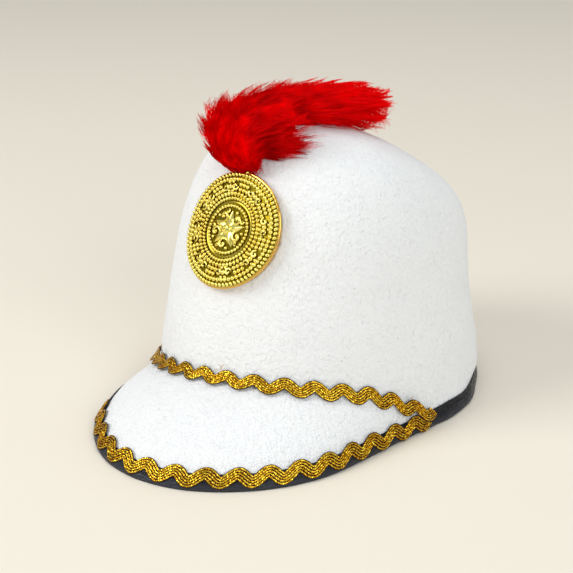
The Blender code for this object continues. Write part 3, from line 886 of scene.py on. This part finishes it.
def seam_bed():
    """The hollow between crown and peak, rounded over so that a braid can lie in it."""
    travel, sections = even_sections([s.wall_top for s in front_sections])
    wall = np.array([s.wall_top for s in sections])
    down = np.array([s.down_at_seam for s in sections])
    up = unit(np.array([crown_at(s.wall_top.z + WALL_STEP, s.angle) for s in sections]) - wall)
    outward = unit(np.array([(s.outward.x, s.outward.y, 0.0) for s in sections]))
    axis = np.cross(outward, (0, 0, 1))
    across = np.linspace(-SEAM_BED_REACH, SEAM_BED_REACH, SEAM_BED_ROWS)
    points, normals = [], []
    for place in across:
        root = math.hypot(place, SEAM_BRAID_SOFTNESS)
        points.append(wall + up * (root + place) / 2 + down * (root - place) / 2)
        normal = unit(np.cross(axis, up * (1 + place / root) + down * (place / root - 1)))
        side = normal[:, 2] + (normal * outward).sum(axis=1)
        normal[side < 0] *= -1
        normals.append(normal)
    return BraidBed(across, travel, points, normals)


seam_surface = seam_bed()
print(f"the seam is {seam_surface.travel[-1]:.3f} m long")

# %% The bed of the peak braid
PEAK_BED_REACH = 0.015
PEAK_BED_ROWS = 31
PEAK_BRAID_RISE = 0.0071


def peak_bed():
    """The steep edge of the peak, over the binding."""
    line = [s.foot - s.down_at_edge * PEAK_BRAID_RISE for s in front_sections]
    travel, sections = even_sections(line)
    turns = np.array([-math.degrees(s.angle) - CORNER_ANGLE for s in sections])
    stations = turns / (180 - 2 * CORNER_ANGLE) * FRONT_STATIONS
    front = normals_at[1][:FRONT_STATIONS + 1]
    normal = [np.interp(stations, np.arange(FRONT_STATIONS + 1), front[:, k]) for k in range(3)]
    across = np.linspace(0.0, PEAK_BED_REACH, PEAK_BED_ROWS)
    points = [[s.point_up(float(height)) for s in sections] for height in across]
    return BraidBed(across, travel, points, [unit(np.stack(normal, axis=1))] * len(across))


peak_surface = peak_bed()
print(f"the peak's edge is {peak_surface.travel[-1]:.3f} m long")


# %% Path of a braid
BRAID_SWING = 0.0024
UNEVEN_SWING = 0.10
UNEVEN_WAVE = 0.0009


def drift_along(travel, per_metre, seed, row):
    """Slow noise at each distance along a braid."""
    return np.array([noise.noise(Vector((t * per_metre, seed, row))) for t in travel])


class BraidPath:
    """The wavy middle line of a braid, from which its yarns are set off."""

    def __init__(self, bed, travel, rise, lift, wave, phase, seed):
        self.bed = bed
        self.travel = travel
        self.rise = rise
        self.lift = lift
        uneven = drift_along(travel, 45, seed, 0.3)
        late = drift_along(travel, 30, seed, 5.1) * UNEVEN_WAVE
        turns = TAU * (travel - phase + late) / wave
        self.swing = BRAID_SWING * (1 + UNEVEN_SWING * uneven) * np.sin(turns)
        self.slope = np.gradient(self.swing, travel)

    def points(self, off, lift):
        """The line at a distance off the middle, square to the wave, lifted off the bed."""
        square = np.sqrt(1 + self.slope ** 2)
        travel = self.travel - off * self.slope / square
        across = self.rise + self.swing + off / square
        surface = self.bed.read(self.bed.points, across, travel)
        normal = unit(self.bed.read(self.bed.normals, across, travel))
        return surface + normal * (np.interp(travel, self.travel, self.lift) + lift)[:, None]


def eased(distances, starts):
    """The same ease at each of many distances."""
    return np.array([ease(float(distance), *starts) for distance in distances])


# %% Paths of the two braids
YARN_STEP = 0.0005
SEAM_BRAID_WAVE = 0.0159
SEAM_BRAID_PHASE = 0.0067
SEAM_BRAID_CLEARANCE = 0.0003
SEAM_BRAID_LAP = 0.0019
SEAM_BRAID_RIGHT_LAP = (0.018, 0.032)
SEAM_BRAID_LEFT_LAP = (0.014, 0.026)
SEAM_BRAID_OVERRUN = 0.0015
SEAM_BRAID_DIP = 0.0018
DIP_STARTS = (0.2035, 0.2165)
DIP_ENDS = (0.2230, 0.2360)
PEAK_BRAID_WAVE = 0.0165
PEAK_BRAID_PHASE = 0.0092
PEAK_BRAID_DIP = 0.0014
PEAK_BRAID_DIP_ENDS = (0.0, 0.060)
PEAK_BRAID_ENDS = (0.0015, 0.1025)
PEAK_BRAID_CLEARANCE = 0.0013

seam_end = seam_surface.travel[-1]
travel = np.arange(-SEAM_BRAID_OVERRUN, seam_end, YARN_STEP)
raised = np.maximum(1 - eased(travel, SEAM_BRAID_RIGHT_LAP),
                    1 - eased(seam_end - travel, SEAM_BRAID_LEFT_LAP))
dip = SEAM_BRAID_DIP * (eased(travel, DIP_STARTS) - eased(travel, DIP_ENDS))
seam_path = BraidPath(seam_surface, travel, -dip, SEAM_BRAID_CLEARANCE + SEAM_BRAID_LAP * raised,
                      SEAM_BRAID_WAVE, SEAM_BRAID_PHASE, 1.7)
travel = np.arange(PEAK_BRAID_ENDS[0], peak_surface.travel[-1] - PEAK_BRAID_ENDS[1], YARN_STEP)
dip = PEAK_BRAID_DIP * (1 - eased(travel, PEAK_BRAID_DIP_ENDS))
peak_path = BraidPath(peak_surface, travel, PEAK_BRAID_RISE - dip,
                      np.full(len(travel), PEAK_BRAID_CLEARANCE), PEAK_BRAID_WAVE,
                      PEAK_BRAID_PHASE, 8.2)
print("points along the braids:", len(seam_path.travel), len(peak_path.travel))

# %% Yarns, ground and edge threads
HALF_BRAID = 0.0033
YARNS = 5
YARN_RADIUS = 0.00058
YARN_TWIST = 0.11
YARN_LIFT = 0.00040
MIDDLE_LIFT = 0.00030
WEAVE_LENGTH = 0.0030
WEAVE_LIFT = 0.00010
WEAVE_SHIFT = 0.85
EDGE_WEAVE = 1.3
EDGE_LIFT = 0.00028
EDGE_RADIUS = 0.00026
GROUND_REACH = 0.84
GROUND_LIFTS = (0.00022, 0.00004)


def braid_pieces(name, path, node):
    """The yarns, ground and edge threads of one braid."""
    count = len(path.travel)
    weave = TAU * path.travel / WEAVE_LENGTH
    yarns = []
    for k in range(YARNS):
        place = 2 * (k + 0.5) / YARNS - 1
        over = WEAVE_LIFT * np.sin(weave + k * math.pi * WEAVE_SHIFT)
        points = path.points(HALF_BRAID * place, YARN_LIFT + MIDDLE_LIFT * (1 - place ** 2) + over)
        yarns.append((points, np.full(count, YARN_RADIUS), YARN_TWIST * (1 if k % 2 else -1)))
    yarn_mesh = strands_mesh(name, yarns, sides=5, flatness=0.72)
    show(name, yarn_mesh, gold_yarn, node, crease=48)
    over = EDGE_LIFT + WEAVE_LIFT * np.sin(weave * EDGE_WEAVE)
    edges = [(path.points(HALF_BRAID * side, over), np.full(count, EDGE_RADIUS), 0.0)
             for side in (-1, 1)]
    edge_mesh = strands_mesh(name + "_edge", edges, sides=4)
    show(name + "_edge", edge_mesh, brown_ground)
    loop = [(side, GROUND_LIFTS[0]) for side in np.linspace(-GROUND_REACH, GROUND_REACH, 5)]
    loop += [(side, GROUND_LIFTS[1]) for side in np.linspace(GROUND_REACH, -GROUND_REACH, 3)]
    loop += loop[:1]
    bands = [path.points(HALF_BRAID * side, np.full(count, lift)) for side, lift in loop]

    def ground_place(u, v):
        return Vector(bands[round(v * (len(loop) - 1))][round(u * (count - 1))])

    ground = bent_sheet(count - 1, len(loop) - 1, ground_place)
    bmesh.ops.holes_fill(ground, edges=[edge for edge in ground.edges if edge.is_boundary])
    show(name + "_ground", ground, brown_ground)


braid_pieces("seam_ricrac", seam_path, "seam_braid")
braid_pieces("peak_ricrac", peak_path, "peak_braid")

# %% Loose threads
# columns: distance along the seam braid, length up, swing along the braid, turns of the curl
THREADS = (
    (0.1235, 0.0044, 0.0012, 4.4), (0.1250, 0.0052, -0.0016, 3.2), (0.1272, 0.0038, 0.0018, 5.0),
    (0.1475, 0.0028, -0.0010, 3.5), (0.0120, 0.0030, 0.0010, 3.0),
)
THREAD_RADII = np.full(9, 0.00014)
upper_edge = seam_path.points(np.full(len(seam_path.travel), HALF_BRAID), 0.0004)
along = np.linspace(0, 1, len(THREAD_RADII))[:, None]
threads = []
for place, length, swing, turning in THREADS:
    index = int(np.searchsorted(seam_path.travel, place))
    start = upper_edge[index]
    ahead = unit(upper_edge[index + 2] - start)
    away = unit(start - (0.0, CROWN_SET_BACK, start[2]))
    points = start + away * (0.0004 + 0.0010 * along) + ahead * swing * np.sin(turning * along)
    points += np.array((0.0, 0.0, 1.0)) * length * along ** 0.8
    threads.append((points, THREAD_RADII, 0.0))
show("seam_threads", strands_mesh("seam_threads", threads), gold_yarn)

# %% [markdown]
# ## Medallion
# The medallion is moulded plastic plated in bright gold. A bump can't give its beads a shaded
# side and an outline, so the relief is modelled. It is built flat, where rings and stars are
# easy: a turned profile for the rims and ridges, rows of beads, a rope edge, a band of scrolls
# and small bosses, and a star with curls between its arms. Then the whole disc is bent round a
# large cylinder and set on the front of the crown. Each point keeps its height above the flat
# disc as an attribute, so that the material can paint shade into the hollows.

# %% Gold plating material
plating, tree, shader = new_material("gold_plating")
relief = add_node(tree, "Attribute", attribute_name="relief").outputs["Fac"]
tone = place_group(tree, tone_drift, Colour=(0.93, 0.83, 0.23, 1), Size=0.010, Amount=0.8,
                   Other_Colour=(0.78, 0.56, 0.07, 1))
# Painted shade: the hollows between beads, ridges and curls are darkened to a deep brown-gold,
# where the relief would shade itself.
raised = ramp(tree, relief, 0.0002, 0.0010)
faces = blend(tree, raised, (0.26, 0.19, 0.008, 1), tone)
on_skirt = math_node(tree, "GREATER_THAN", relief, 0.0035)
feed(tree, shader, {
    "Base Color": blend(tree, on_skirt, faces, (0.80, 0.47, 0.10, 1)),
    "Roughness": place_group(tree, uneven_gloss, Size=0.004, Smoothest=0.06, Roughest=0.20),
    "Metallic": 1.0,
})

# %% Medallion: turned rims and ridges
MM = 0.001
# columns: radius and height in millimetres, from the foot of the skirt in to the middle
TURNED = (
    (31.0, -3.0), (31.8, -2.5), (32.3, -1.9), (32.5, -1.3), (32.4, -0.9), (32.1, -0.6),
    (31.8, -0.5), (31.6, -0.6), (31.3, -0.4), (30.8, -0.2), (30.0, -0.1), (28.8, 0.0),
    (26.6, 0.0), (24.4, 0.0), (22.1, 0.0), (19.4, 0.0), (16.2, 0.0), (15.8, 0.2), (15.4, 0.35),
    (15.0, 0.4), (14.6, 0.3), (14.4, 0.15), (14.2, 0.1), (11.8, 0.0), (9.0, 0.1), (4.0, 0.2),
    (0.0, 0.3),
)
TURNED_STEPS = 144
medal = bmesh.new()
ring = [medal.verts.new((radius * MM, 0, height * MM)) for radius, height in TURNED]
edges = [medal.edges.new(pair) for pair in zip(ring, ring[1:])]
bmesh.ops.spin(medal, geom=ring + edges, axis=(0, 0, 1), cent=(0, 0, 0), angle=TAU,
               steps=TURNED_STEPS, use_merge=True)
bmesh.ops.remove_doubles(medal, verts=medal.verts, dist=WELD)
print("turned disc:", len(medal.faces), "faces")


# %% Medallion: rows of beads and the rope edge
BOSSES = 8
BOSS_TURN = TAU / BOSSES
BOSS_START = 0.35
BOSS_ROOM = 0.30
ROUND = (1, 1, 1)
# columns: radius, pitch, height, size, stretch along the row, across it and up, slant in degrees,
# whether the row is open at the bosses
BEAD_ROWS = (
    (30.30, 2.40, 0.30, 1.30, (0.80, 1.15, 0.9), 30, False),
    (27.60, 2.45, 0.50, 1.34, ROUND, 0, False),
    (24.95, 2.45, 0.50, 1.32, ROUND, 0, True),
    (22.30, 2.45, 0.50, 1.32, ROUND, 0, True),
    (19.65, 2.35, 0.50, 1.32, (0.80, 1.10, 1.0), -12, False),
    (17.05, 2.00, 0.45, 1.12, (0.85, 1.05, 1.0), -30, False),
    (13.00, 2.05, 0.45, 1.06, ROUND, 0, False),
)


def add_bead(radius, turn, height, size, stretch=ROUND, slant=0):
    """One bead on the flat relief, in millimetres; stretch is along the row, across it and up."""
    place = Matrix.Rotation(turn, 4, "Z") @ Matrix.Translation((radius * MM, 0, height * MM))
    place = place @ Matrix.Rotation(math.radians(slant), 4, "Z")
    place = place @ Matrix.Diagonal((stretch[1], stretch[0], stretch[2], 1))
    bmesh.ops.create_icosphere(medal, subdivisions=2, radius=size * MM, matrix=place)


def near_boss(turn):
    """Whether a turn lies beside a boss."""
    return abs((turn / BOSS_TURN - BOSS_START + 0.5) % 1.0 - 0.5) < BOSS_ROOM


for radius, pitch, height, size, stretch, slant, is_open in BEAD_ROWS:
    count = round(TAU * radius / pitch)
    for k in range(count):
        if not (is_open and near_boss(TAU * k / count)):
            add_bead(radius, TAU * k / count, height, size, stretch, slant)
print("with rows of beads:", len(medal.faces), "faces")

# %% Medallion: scroll band
BAND_RADIUS = 23.6
CURL_POINTS = 18


def polar(radius, turn):
    """A flat point at a radius and a turn."""
    return radius * math.cos(turn), radius * math.sin(turn)


def curl(centre, start_turn, radius, turns, thickness, height, hand=1):
    """Points and radii of a spiral curl in millimetres, wide at its outer end."""
    t = np.linspace(0, 1, CURL_POINTS)
    angle = start_turn + hand * t * turns * TAU
    reach = radius * (1 - 0.72 * t)
    points = np.stack([centre[0] + reach * np.cos(angle), centre[1] + reach * np.sin(angle),
                       height + 0.30 * t], axis=1)
    swelling = 0.65 + 0.55 * np.sin(math.pi * np.clip(t * 1.1, 0, 1))
    return points * MM, thickness * MM * swelling, 0.0


curls = []
for k in range(BOSSES):
    turn = BOSS_TURN * (k + BOSS_START)
    add_bead(BAND_RADIUS, turn, 0.6, 1.55)
    for hand in (-1, 1):
        beside = turn + hand * 0.135
        facing = beside + math.pi / 2 * hand
        curls.append(curl(polar(BAND_RADIUS, beside), facing, 2.05, 1.0, 0.72, 0.7, hand))
        add_bead(BAND_RADIUS + 2.6, turn + hand * 0.050, 0.5, 1.05)
        add_bead(BAND_RADIUS - 2.5, turn + hand * 0.055, 0.5, 1.0)
print("curls in the band:", len(curls))

# %% Medallion: star
STAR_POINTS = 5
STAR_NOTCH = 0.50
STAR_RADIUS = 10.8
STAR_SIDE = 0.2
STAR_COLUMNS = 120
STAR_ROWS = 20
HALF_ARM = math.pi / STAR_POINTS


def star_place(u, v):
    """A point of the star: u round it, v from its foot over the edge to the middle."""
    turn = TAU * u
    off_point = abs((turn + HALF_ARM) % (2 * HALF_ARM) - HALF_ARM)
    notch_side = STAR_NOTCH * math.sin(HALF_ARM - off_point) + math.sin(off_point)
    outline = STAR_RADIUS * STAR_NOTCH * math.sin(HALF_ARM) / notch_side
    inward = max(v - STAR_SIDE, 0.0) / (1 - STAR_SIDE)
    ridge = 0.5 * (1 - off_point / HALF_ARM) ** 2 * math.sin(math.pi * min(inward * 1.4, 1.0))
    height = 0.1 + 0.6 * min(v / STAR_SIDE, 1.0) + 0.7 * inward + ridge
    return Vector((*polar(outline * (1 - inward), turn + math.pi / 2), height)) * MM


medal.from_mesh(as_mesh("star", bent_sheet(STAR_COLUMNS, STAR_ROWS, star_place)))
add_bead(0, 0, 1.2, 3.0, (1, 1, 0.50))
for k in range(3):
    add_bead(1.0, TAU * (k + 0.25) / 3, 2.6, 0.65)
for k in range(STAR_POINTS):
    notch = TAU * (k + 0.5) / STAR_POINTS + math.pi / 2
    curls.append(curl(polar(7.9, notch), notch + 2.4, 3.1, 0.95, 0.80, 0.7))
    curls.append(curl(polar(10.2, notch - 0.34), notch - 0.6, 1.2, 0.9, 0.60, 0.6, -1))
    add_bead(10.3, notch + 0.28, 0.5, 1.0)
    add_bead(7.9, notch + 0.02, 0.5, 1.0)
medal.from_mesh(strands_mesh("curls", curls, sides=6))
add_bead(31.9, math.pi / 2 - 0.04, 0.2, 1.3, (0.8, 1.1, 0.8))
print("relief:", len(medal.faces), "faces")

# %% Medallion: bend it and set it on the crown
MEDALLION_HEIGHT = 0.1148
MEDALLION_LEAN = 24.0
MEDALLION_TURN = -5.0
MEDALLION_STANDOFF = 0.0012
MEDALLION_ASIDE = -0.0013
MEDALLION_SKEW = 0.045
BEND_RADIUS = 0.130
SEAT_GAP = 0.0007
SKIRT_RADIUS = 31.4 * MM
SKIRT_TOP = -0.5 * MM
SKIRT_FOOT = -2.9 * MM
SKIRT_MARK = 4 * MM
medal_place = Matrix.Translation(crown_at(MEDALLION_HEIGHT, FRONT))
medal_place @= Matrix.Rotation(math.radians(MEDALLION_TURN), 4, "Z")
medal_place @= Matrix.Rotation(math.radians(90 - MEDALLION_LEAN), 4, "X")
medal_place @= Matrix.Translation((MEDALLION_ASIDE, 0, MEDALLION_STANDOFF))
medal_out = medal_place.to_3x3() @ Vector((0, 0, 1))
relief_layer = medal.verts.layers.float.new("relief")
bmesh.ops.recalc_face_normals(medal, faces=medal.faces)
for vert in medal.verts:
    x, y, height = vert.co
    outside = math.hypot(x, y) > SKIRT_RADIUS or height < SKIRT_TOP
    vert[relief_layer] = SKIRT_MARK if outside and height < 0 else height
    around = (x + MEDALLION_SKEW * y) / BEND_RADIUS
    across, up = polar(BEND_RADIUS + height, math.pi / 2 - around)
    vert.co = medal_place @ Vector((across, y, up - BEND_RADIUS))
    if height < SKIRT_FOOT:
        hit = crown_tree.ray_cast(vert.co + medal_out * 0.02, -medal_out)[0]
        if hit is not None:
            vert.co = hit + medal_out * SEAT_GAP
show("star_medallion", medal, plating, "medallion", crease=75)

# %% [markdown]
# ## Red plume
# The plume is a bundle of soft dyed feathers. What shows is barbs: thousands of fine hairs that
# leave the quills, stream up and back together, and part into little tufts at their tips. Hair
# that is combed by hand would be quicker, but the part has to be a mesh, so each barb is a
# tapered strand. A tuft of barbs shares a path from deep in the plume to its outside, and the
# paths follow the plume's own sections, which a table gives from the base to the tip.

# %% Feather material
feather, tree, shader = new_material("red_feather")
shaded = ramp(tree, hat_axis(tree, "Y"), -0.01, 0.05, 1.25, 0.0)
tone = place_group(tree, tone_drift, Colour=(1.0, 0.0, 0.0006, 1), Size=0.010, Amount=shaded,
                   Other_Colour=(0.55, 0.0, 0.0004, 1))
layout = add_node(tree, "UVMap", uv_map="UVMap").outputs["UV"]
along = add_node(tree, "SeparateXYZ", {"Vector": layout}).outputs["Y"]
# Painted light: each barb is paled towards pink over its last part, for light showing through the
# thin tips.
painted_tip_light = ramp(tree, along, 0.85, 1.0, 0.0, 0.25)
feed(tree, shader, {
    "Base Color": blend(tree, painted_tip_light, tone, (1.0, 0.03, 0.035, 1)),
    "Roughness": 0.70,
    "Specular IOR Level": 0.0,
})

# %% Plume form
# columns: x, y, z, then how far it reaches left, right, over and under that point
PLUME = (
    (-0.003, -0.0385, 0.1448, 0.017, 0.016, 0.004, 0.008),
    (-0.006, -0.0415, 0.1520, 0.016, 0.018, 0.006, 0.015),
    (-0.009, -0.0400, 0.1610, 0.020, 0.023, 0.010, 0.0205),
    (-0.009, -0.0290, 0.1670, 0.024, 0.031, 0.012, 0.0235),
    (-0.008, -0.0120, 0.1705, 0.025, 0.034, 0.011, 0.022),
    (-0.004, 0.0100, 0.1715, 0.026, 0.030, 0.010, 0.019),
    (0.000, 0.0300, 0.1700, 0.025, 0.029, 0.010, 0.018),
    (0.002, 0.0460, 0.1675, 0.024, 0.028, 0.010, 0.018),
    (0.003, 0.0590, 0.1645, 0.021, 0.023, 0.010, 0.016),
    (0.003, 0.0690, 0.1630, 0.016, 0.016, 0.009, 0.009),
    (0.004, 0.0760, 0.1615, 0.010, 0.009, 0.007, 0.004),
)
LAST_PLACE = len(PLUME) - 1
SPINE_STEPS = 500
spine_place = np.linspace(0, LAST_PLACE, SPINE_STEPS)
plume_columns = [list(enumerate(column)) for column in zip(*PLUME)]
spine = np.array([[smooth_value(column, s) for column in plume_columns] for s in spine_place])
spine_ahead = unit(np.gradient(spine[:, :3], axis=0))
spine_away = unit(np.cross((1.0, 0.0, 0.0), spine_ahead))
spine_table = np.hstack([spine, spine_ahead, spine_away])
print(f"the plume sweeps back {spine[-1, 1] - spine[0, 1]:.3f} m")

# %% Points in the plume
PAST_END = 0.008
# columns: place along the spine, turn round it, how wide along, how deep
NOTCHES = ((4.25, -0.50, 0.36, 0.50), (2.95, -0.95, 0.22, 0.25))


def plume_points(place, turn, reach):
    """Points in the plume: place along the spine, turn round it, reach 1 on its outside."""
    held = np.clip(place, 0, LAST_PLACE)
    table = np.stack([np.interp(held, spine_place, column) for column in spine_table.T], axis=-1)
    centre, ahead, away = table[..., :3], table[..., 7:10], table[..., 10:13]
    left, right, over, under = (table[..., k] for k in range(3, 7))
    cosine, sine = np.cos(turn), np.sin(turn)
    sideways = np.where(cosine > 0, right, left) * cosine * reach
    outward = np.where(sine > 0, over, under) * sine * reach
    beyond = (place - held) * PAST_END
    point = centre + sideways[..., None] * (1.0, 0.0, 0.0) + away * outward[..., None]
    return point + ahead * beyond[..., None]


def notched(places, turns):
    """Share of the full reach that is left where the lobes part from each other."""
    left = 1.0
    for place, turn, wide, deep in NOTCHES:
        facing = np.clip(np.cos(turns - turn), 0, 1)
        left = left - deep * np.exp(-(((places - place) / wide) ** 2)) * facing
    return left


# %% Keep clear of the felt
FELT_SEARCH = 0.02


def clear_of_felt(points, gap):
    """Lift points that would lie on or in the crown to a gap above it."""
    flat = points.reshape(-1, 3)
    for index, point in enumerate(flat):
        near, normal, *_ = crown_tree.find_nearest(Vector(point), FELT_SEARCH)
        if near is not None and (Vector(point) - near).dot(normal) < gap:
            flat[index] = near + normal * gap
    return flat.reshape(points.shape)


# %% One tuft of barbs
BARB_POINTS = 6
dice = np.random.default_rng(7)
t = np.linspace(0, 1, BARB_POINTS)
tufts = []


def add_tuft(count, start, turn, run, reach, full_reach, spread, bow, tight, parted=True):
    """The barbs of one tuft, which draw together towards its tip."""
    drawn = 1 - tight * t
    starts = start + dice.normal(0, 0.20, count)[:, None] * drawn
    turns = turn + dice.normal(0, spread, count)[:, None] * drawn + bow * t ** 2
    along = t * (1 - 0.45 * dice.random(count)[:, None])
    reaches = reach + (full_reach - reach) * along ** 0.85
    reaches = reaches * (1 + dice.normal(0, 0.07, count)[:, None] * drawn)
    places = starts + run * along ** 1.15
    if parted:
        reaches = reaches * notched(places, turns)
    points = plume_points(places, turns, reaches)
    tufts.append(points + dice.normal(0, 0.00030, (count, BARB_POINTS, 3)) * t[:, None])


# %% Tufts in the body, round the edge, in the lobes and at the tail
BODY_TUFTS = 560
EDGE_TUFTS = 500
LOBE_TUFTS = 80
TAIL_TUFTS = 66
for _ in range(BODY_TUFTS):
    start = dice.uniform(-0.1, 7.8)
    reach = dice.uniform(0.55, 1.0)
    run = min(dice.uniform(1.4, 2.8), LAST_PLACE - 1.5 - start)
    reach *= 1 - 0.35 * ease(start + run, 7.0, 9.2)
    add_tuft(11, start, dice.uniform(0, TAU), run, reach * dice.uniform(0.3, 0.8), reach,
             0.30, dice.uniform(-0.25, 0.25), 0.70)
for _ in range(EDGE_TUFTS):
    start = dice.uniform(0.2, 3.2) if dice.random() < 0.45 else dice.uniform(2.5, 8.0)
    loose = dice.random() ** 1.5 * ease(start, 0.0, 2.5)
    run = dice.uniform(0.30, 0.80) + 0.16 * max(min(start, 7.0) - 2.0, 0.0)
    run = min(run, LAST_PLACE - 0.5 - start)
    add_tuft(13, start, dice.uniform(0, TAU), run, dice.uniform(0.55, 0.80),
             1.04 + 0.34 * loose, 0.10, dice.uniform(-0.25, 0.25), 0.96)
for _ in range(LOBE_TUFTS):
    upper = dice.random() < 0.6
    start = dice.uniform(2.0, 2.9) if upper else dice.uniform(1.3, 1.9)
    turn = dice.normal(-0.55, 0.22) if upper else dice.normal(-1.0, 0.16)
    add_tuft(13, start, turn, dice.uniform(0.9, 1.5), 0.60, dice.uniform(1.00, 1.36),
             0.12, dice.uniform(-0.15, 0.15), 0.95, parted=False)
for _ in range(TAIL_TUFTS):
    start = dice.uniform(6.2, 8.0)
    run = LAST_PLACE + dice.uniform(-0.3, 1.5) - start
    add_tuft(15, start, dice.uniform(0, TAU), run, 0.55, dice.uniform(0.2, 1.65),
             0.05, dice.uniform(-0.25, 0.25), 0.985, parted=False)

print("tufts:", len(tufts))

# %% Barbs
BARB_PIECES = 5
BARB_RADIUS = 0.000130
TIP_RADIUS = 0.000035
BARB_LIFT = 0.0005
barb_radii = BARB_RADIUS * (1 - t) ** 0.7 + TIP_RADIUS
barbs = clear_of_felt(np.concatenate(tufts), BARB_LIFT)
print("barbs:", len(barbs))
for index in range(BARB_PIECES):
    name = f"plume_barbs_{index + 1}"
    strands = [(points, barb_radii, 0.0) for points in barbs[index::BARB_PIECES]]
    show(name, strands_mesh(name, strands), feather, "plume")

# %% Down under the barbs
DOWN_COLUMNS = 64
DOWN_ROWS = 60
DOWN_REACH = 0.80
DOWN_END = 8.3
DOWN_LIFT = 0.0007


def down_place(u, v):
    """The dense down that the barbs leave: the plume's form, drawn in."""
    place = np.array(DOWN_END * v)
    turn = np.array(TAU * u)
    flute = 1 - 0.10 * np.sin(5 * turn + 3 * v) ** 2
    ends = max(min(ease(v, 0.0, 0.06), 1 - ease(v, 0.86, 1.0)), 0.02)
    return Vector(plume_points(place, turn, DOWN_REACH * flute * ends * notched(place, turn)))


down = bent_sheet(DOWN_COLUMNS, DOWN_ROWS, down_place)
lifted = clear_of_felt(np.array([vert.co for vert in down.verts]), DOWN_LIFT)
for vert, point in zip(down.verts, lifted):
    vert.co = point
show("plume_down", down, feather, "plume")

# %% [markdown]
# ## Stage
# A plain studio has a pale floor and large soft lamps. A panorama of a real room could light the
# hat too, but a few lamps are easier to follow and keep white felt, gold and red all plain to
# see. The strongest stands left in front, a weaker one on the right and the weakest above, with
# an even world between. The camera stands in front and to the right, a little above the hat.

# %% Floor
floor_sheet = bmesh.new()
bmesh.ops.create_grid(floor_sheet, x_segments=1, y_segments=1, size=30.0)
floor = put_in_scene("floor", as_mesh("floor", floor_sheet))
floor_material, tree, shader = new_material("floor")
feed(tree, shader, {"Base Color": (0.80, 0.74, 0.63, 1), "Roughness": 0.8})
floor.data.materials.append(floor_material)


# %% Lights and world
def soft_light(name, place, aim_height, size, power, colour=(1, 1, 1)):
    """A square area light turned towards the hat."""
    light = bpy.data.lights.new(name, "AREA")
    light.shape = "SQUARE"
    light.size = size
    light.energy = power
    light.color = colour
    lamp = put_in_scene(name, light)
    lamp.location = place
    aim = Vector((0, 0, aim_height)) - Vector(place)
    lamp.rotation_euler = aim.to_track_quat("-Z", "Y").to_euler()
    print(f"light {name}: {power} W")


soft_light("key", (-0.9, -1.3, 1.3), 0.08, 1.0, 21, (0.99, 0.99, 1.0))
soft_light("fill", (1.35, -0.65, 0.9), 0.08, 0.9, 9.5, (0.90, 0.95, 1.0))
soft_light("top", (0.1, 0.5, 1.7), 0.1, 1.0, 5.5)
world = bpy.data.worlds.new("studio")
bpy.context.scene.world = world
world.use_nodes = True
feed(world.node_tree, world.node_tree.nodes["Background"],
     {"Color": (0.96, 0.98, 0.99, 1), "Strength": 0.55})
bpy.context.scene.view_settings.view_transform = "Standard"

# %% Camera
camera_data = bpy.data.cameras.new("camera")
camera_data.lens = 88.25
camera_data.sensor_width = 36.0
camera = put_in_scene("camera", camera_data)
camera.location = (0.4529, -0.6035, 0.3574)
camera.rotation_euler = (math.radians(68.91), 0, math.radians(37.04))
bpy.context.scene.camera = camera
print("camera at", tuple(round(value, 2) for value in camera.location))
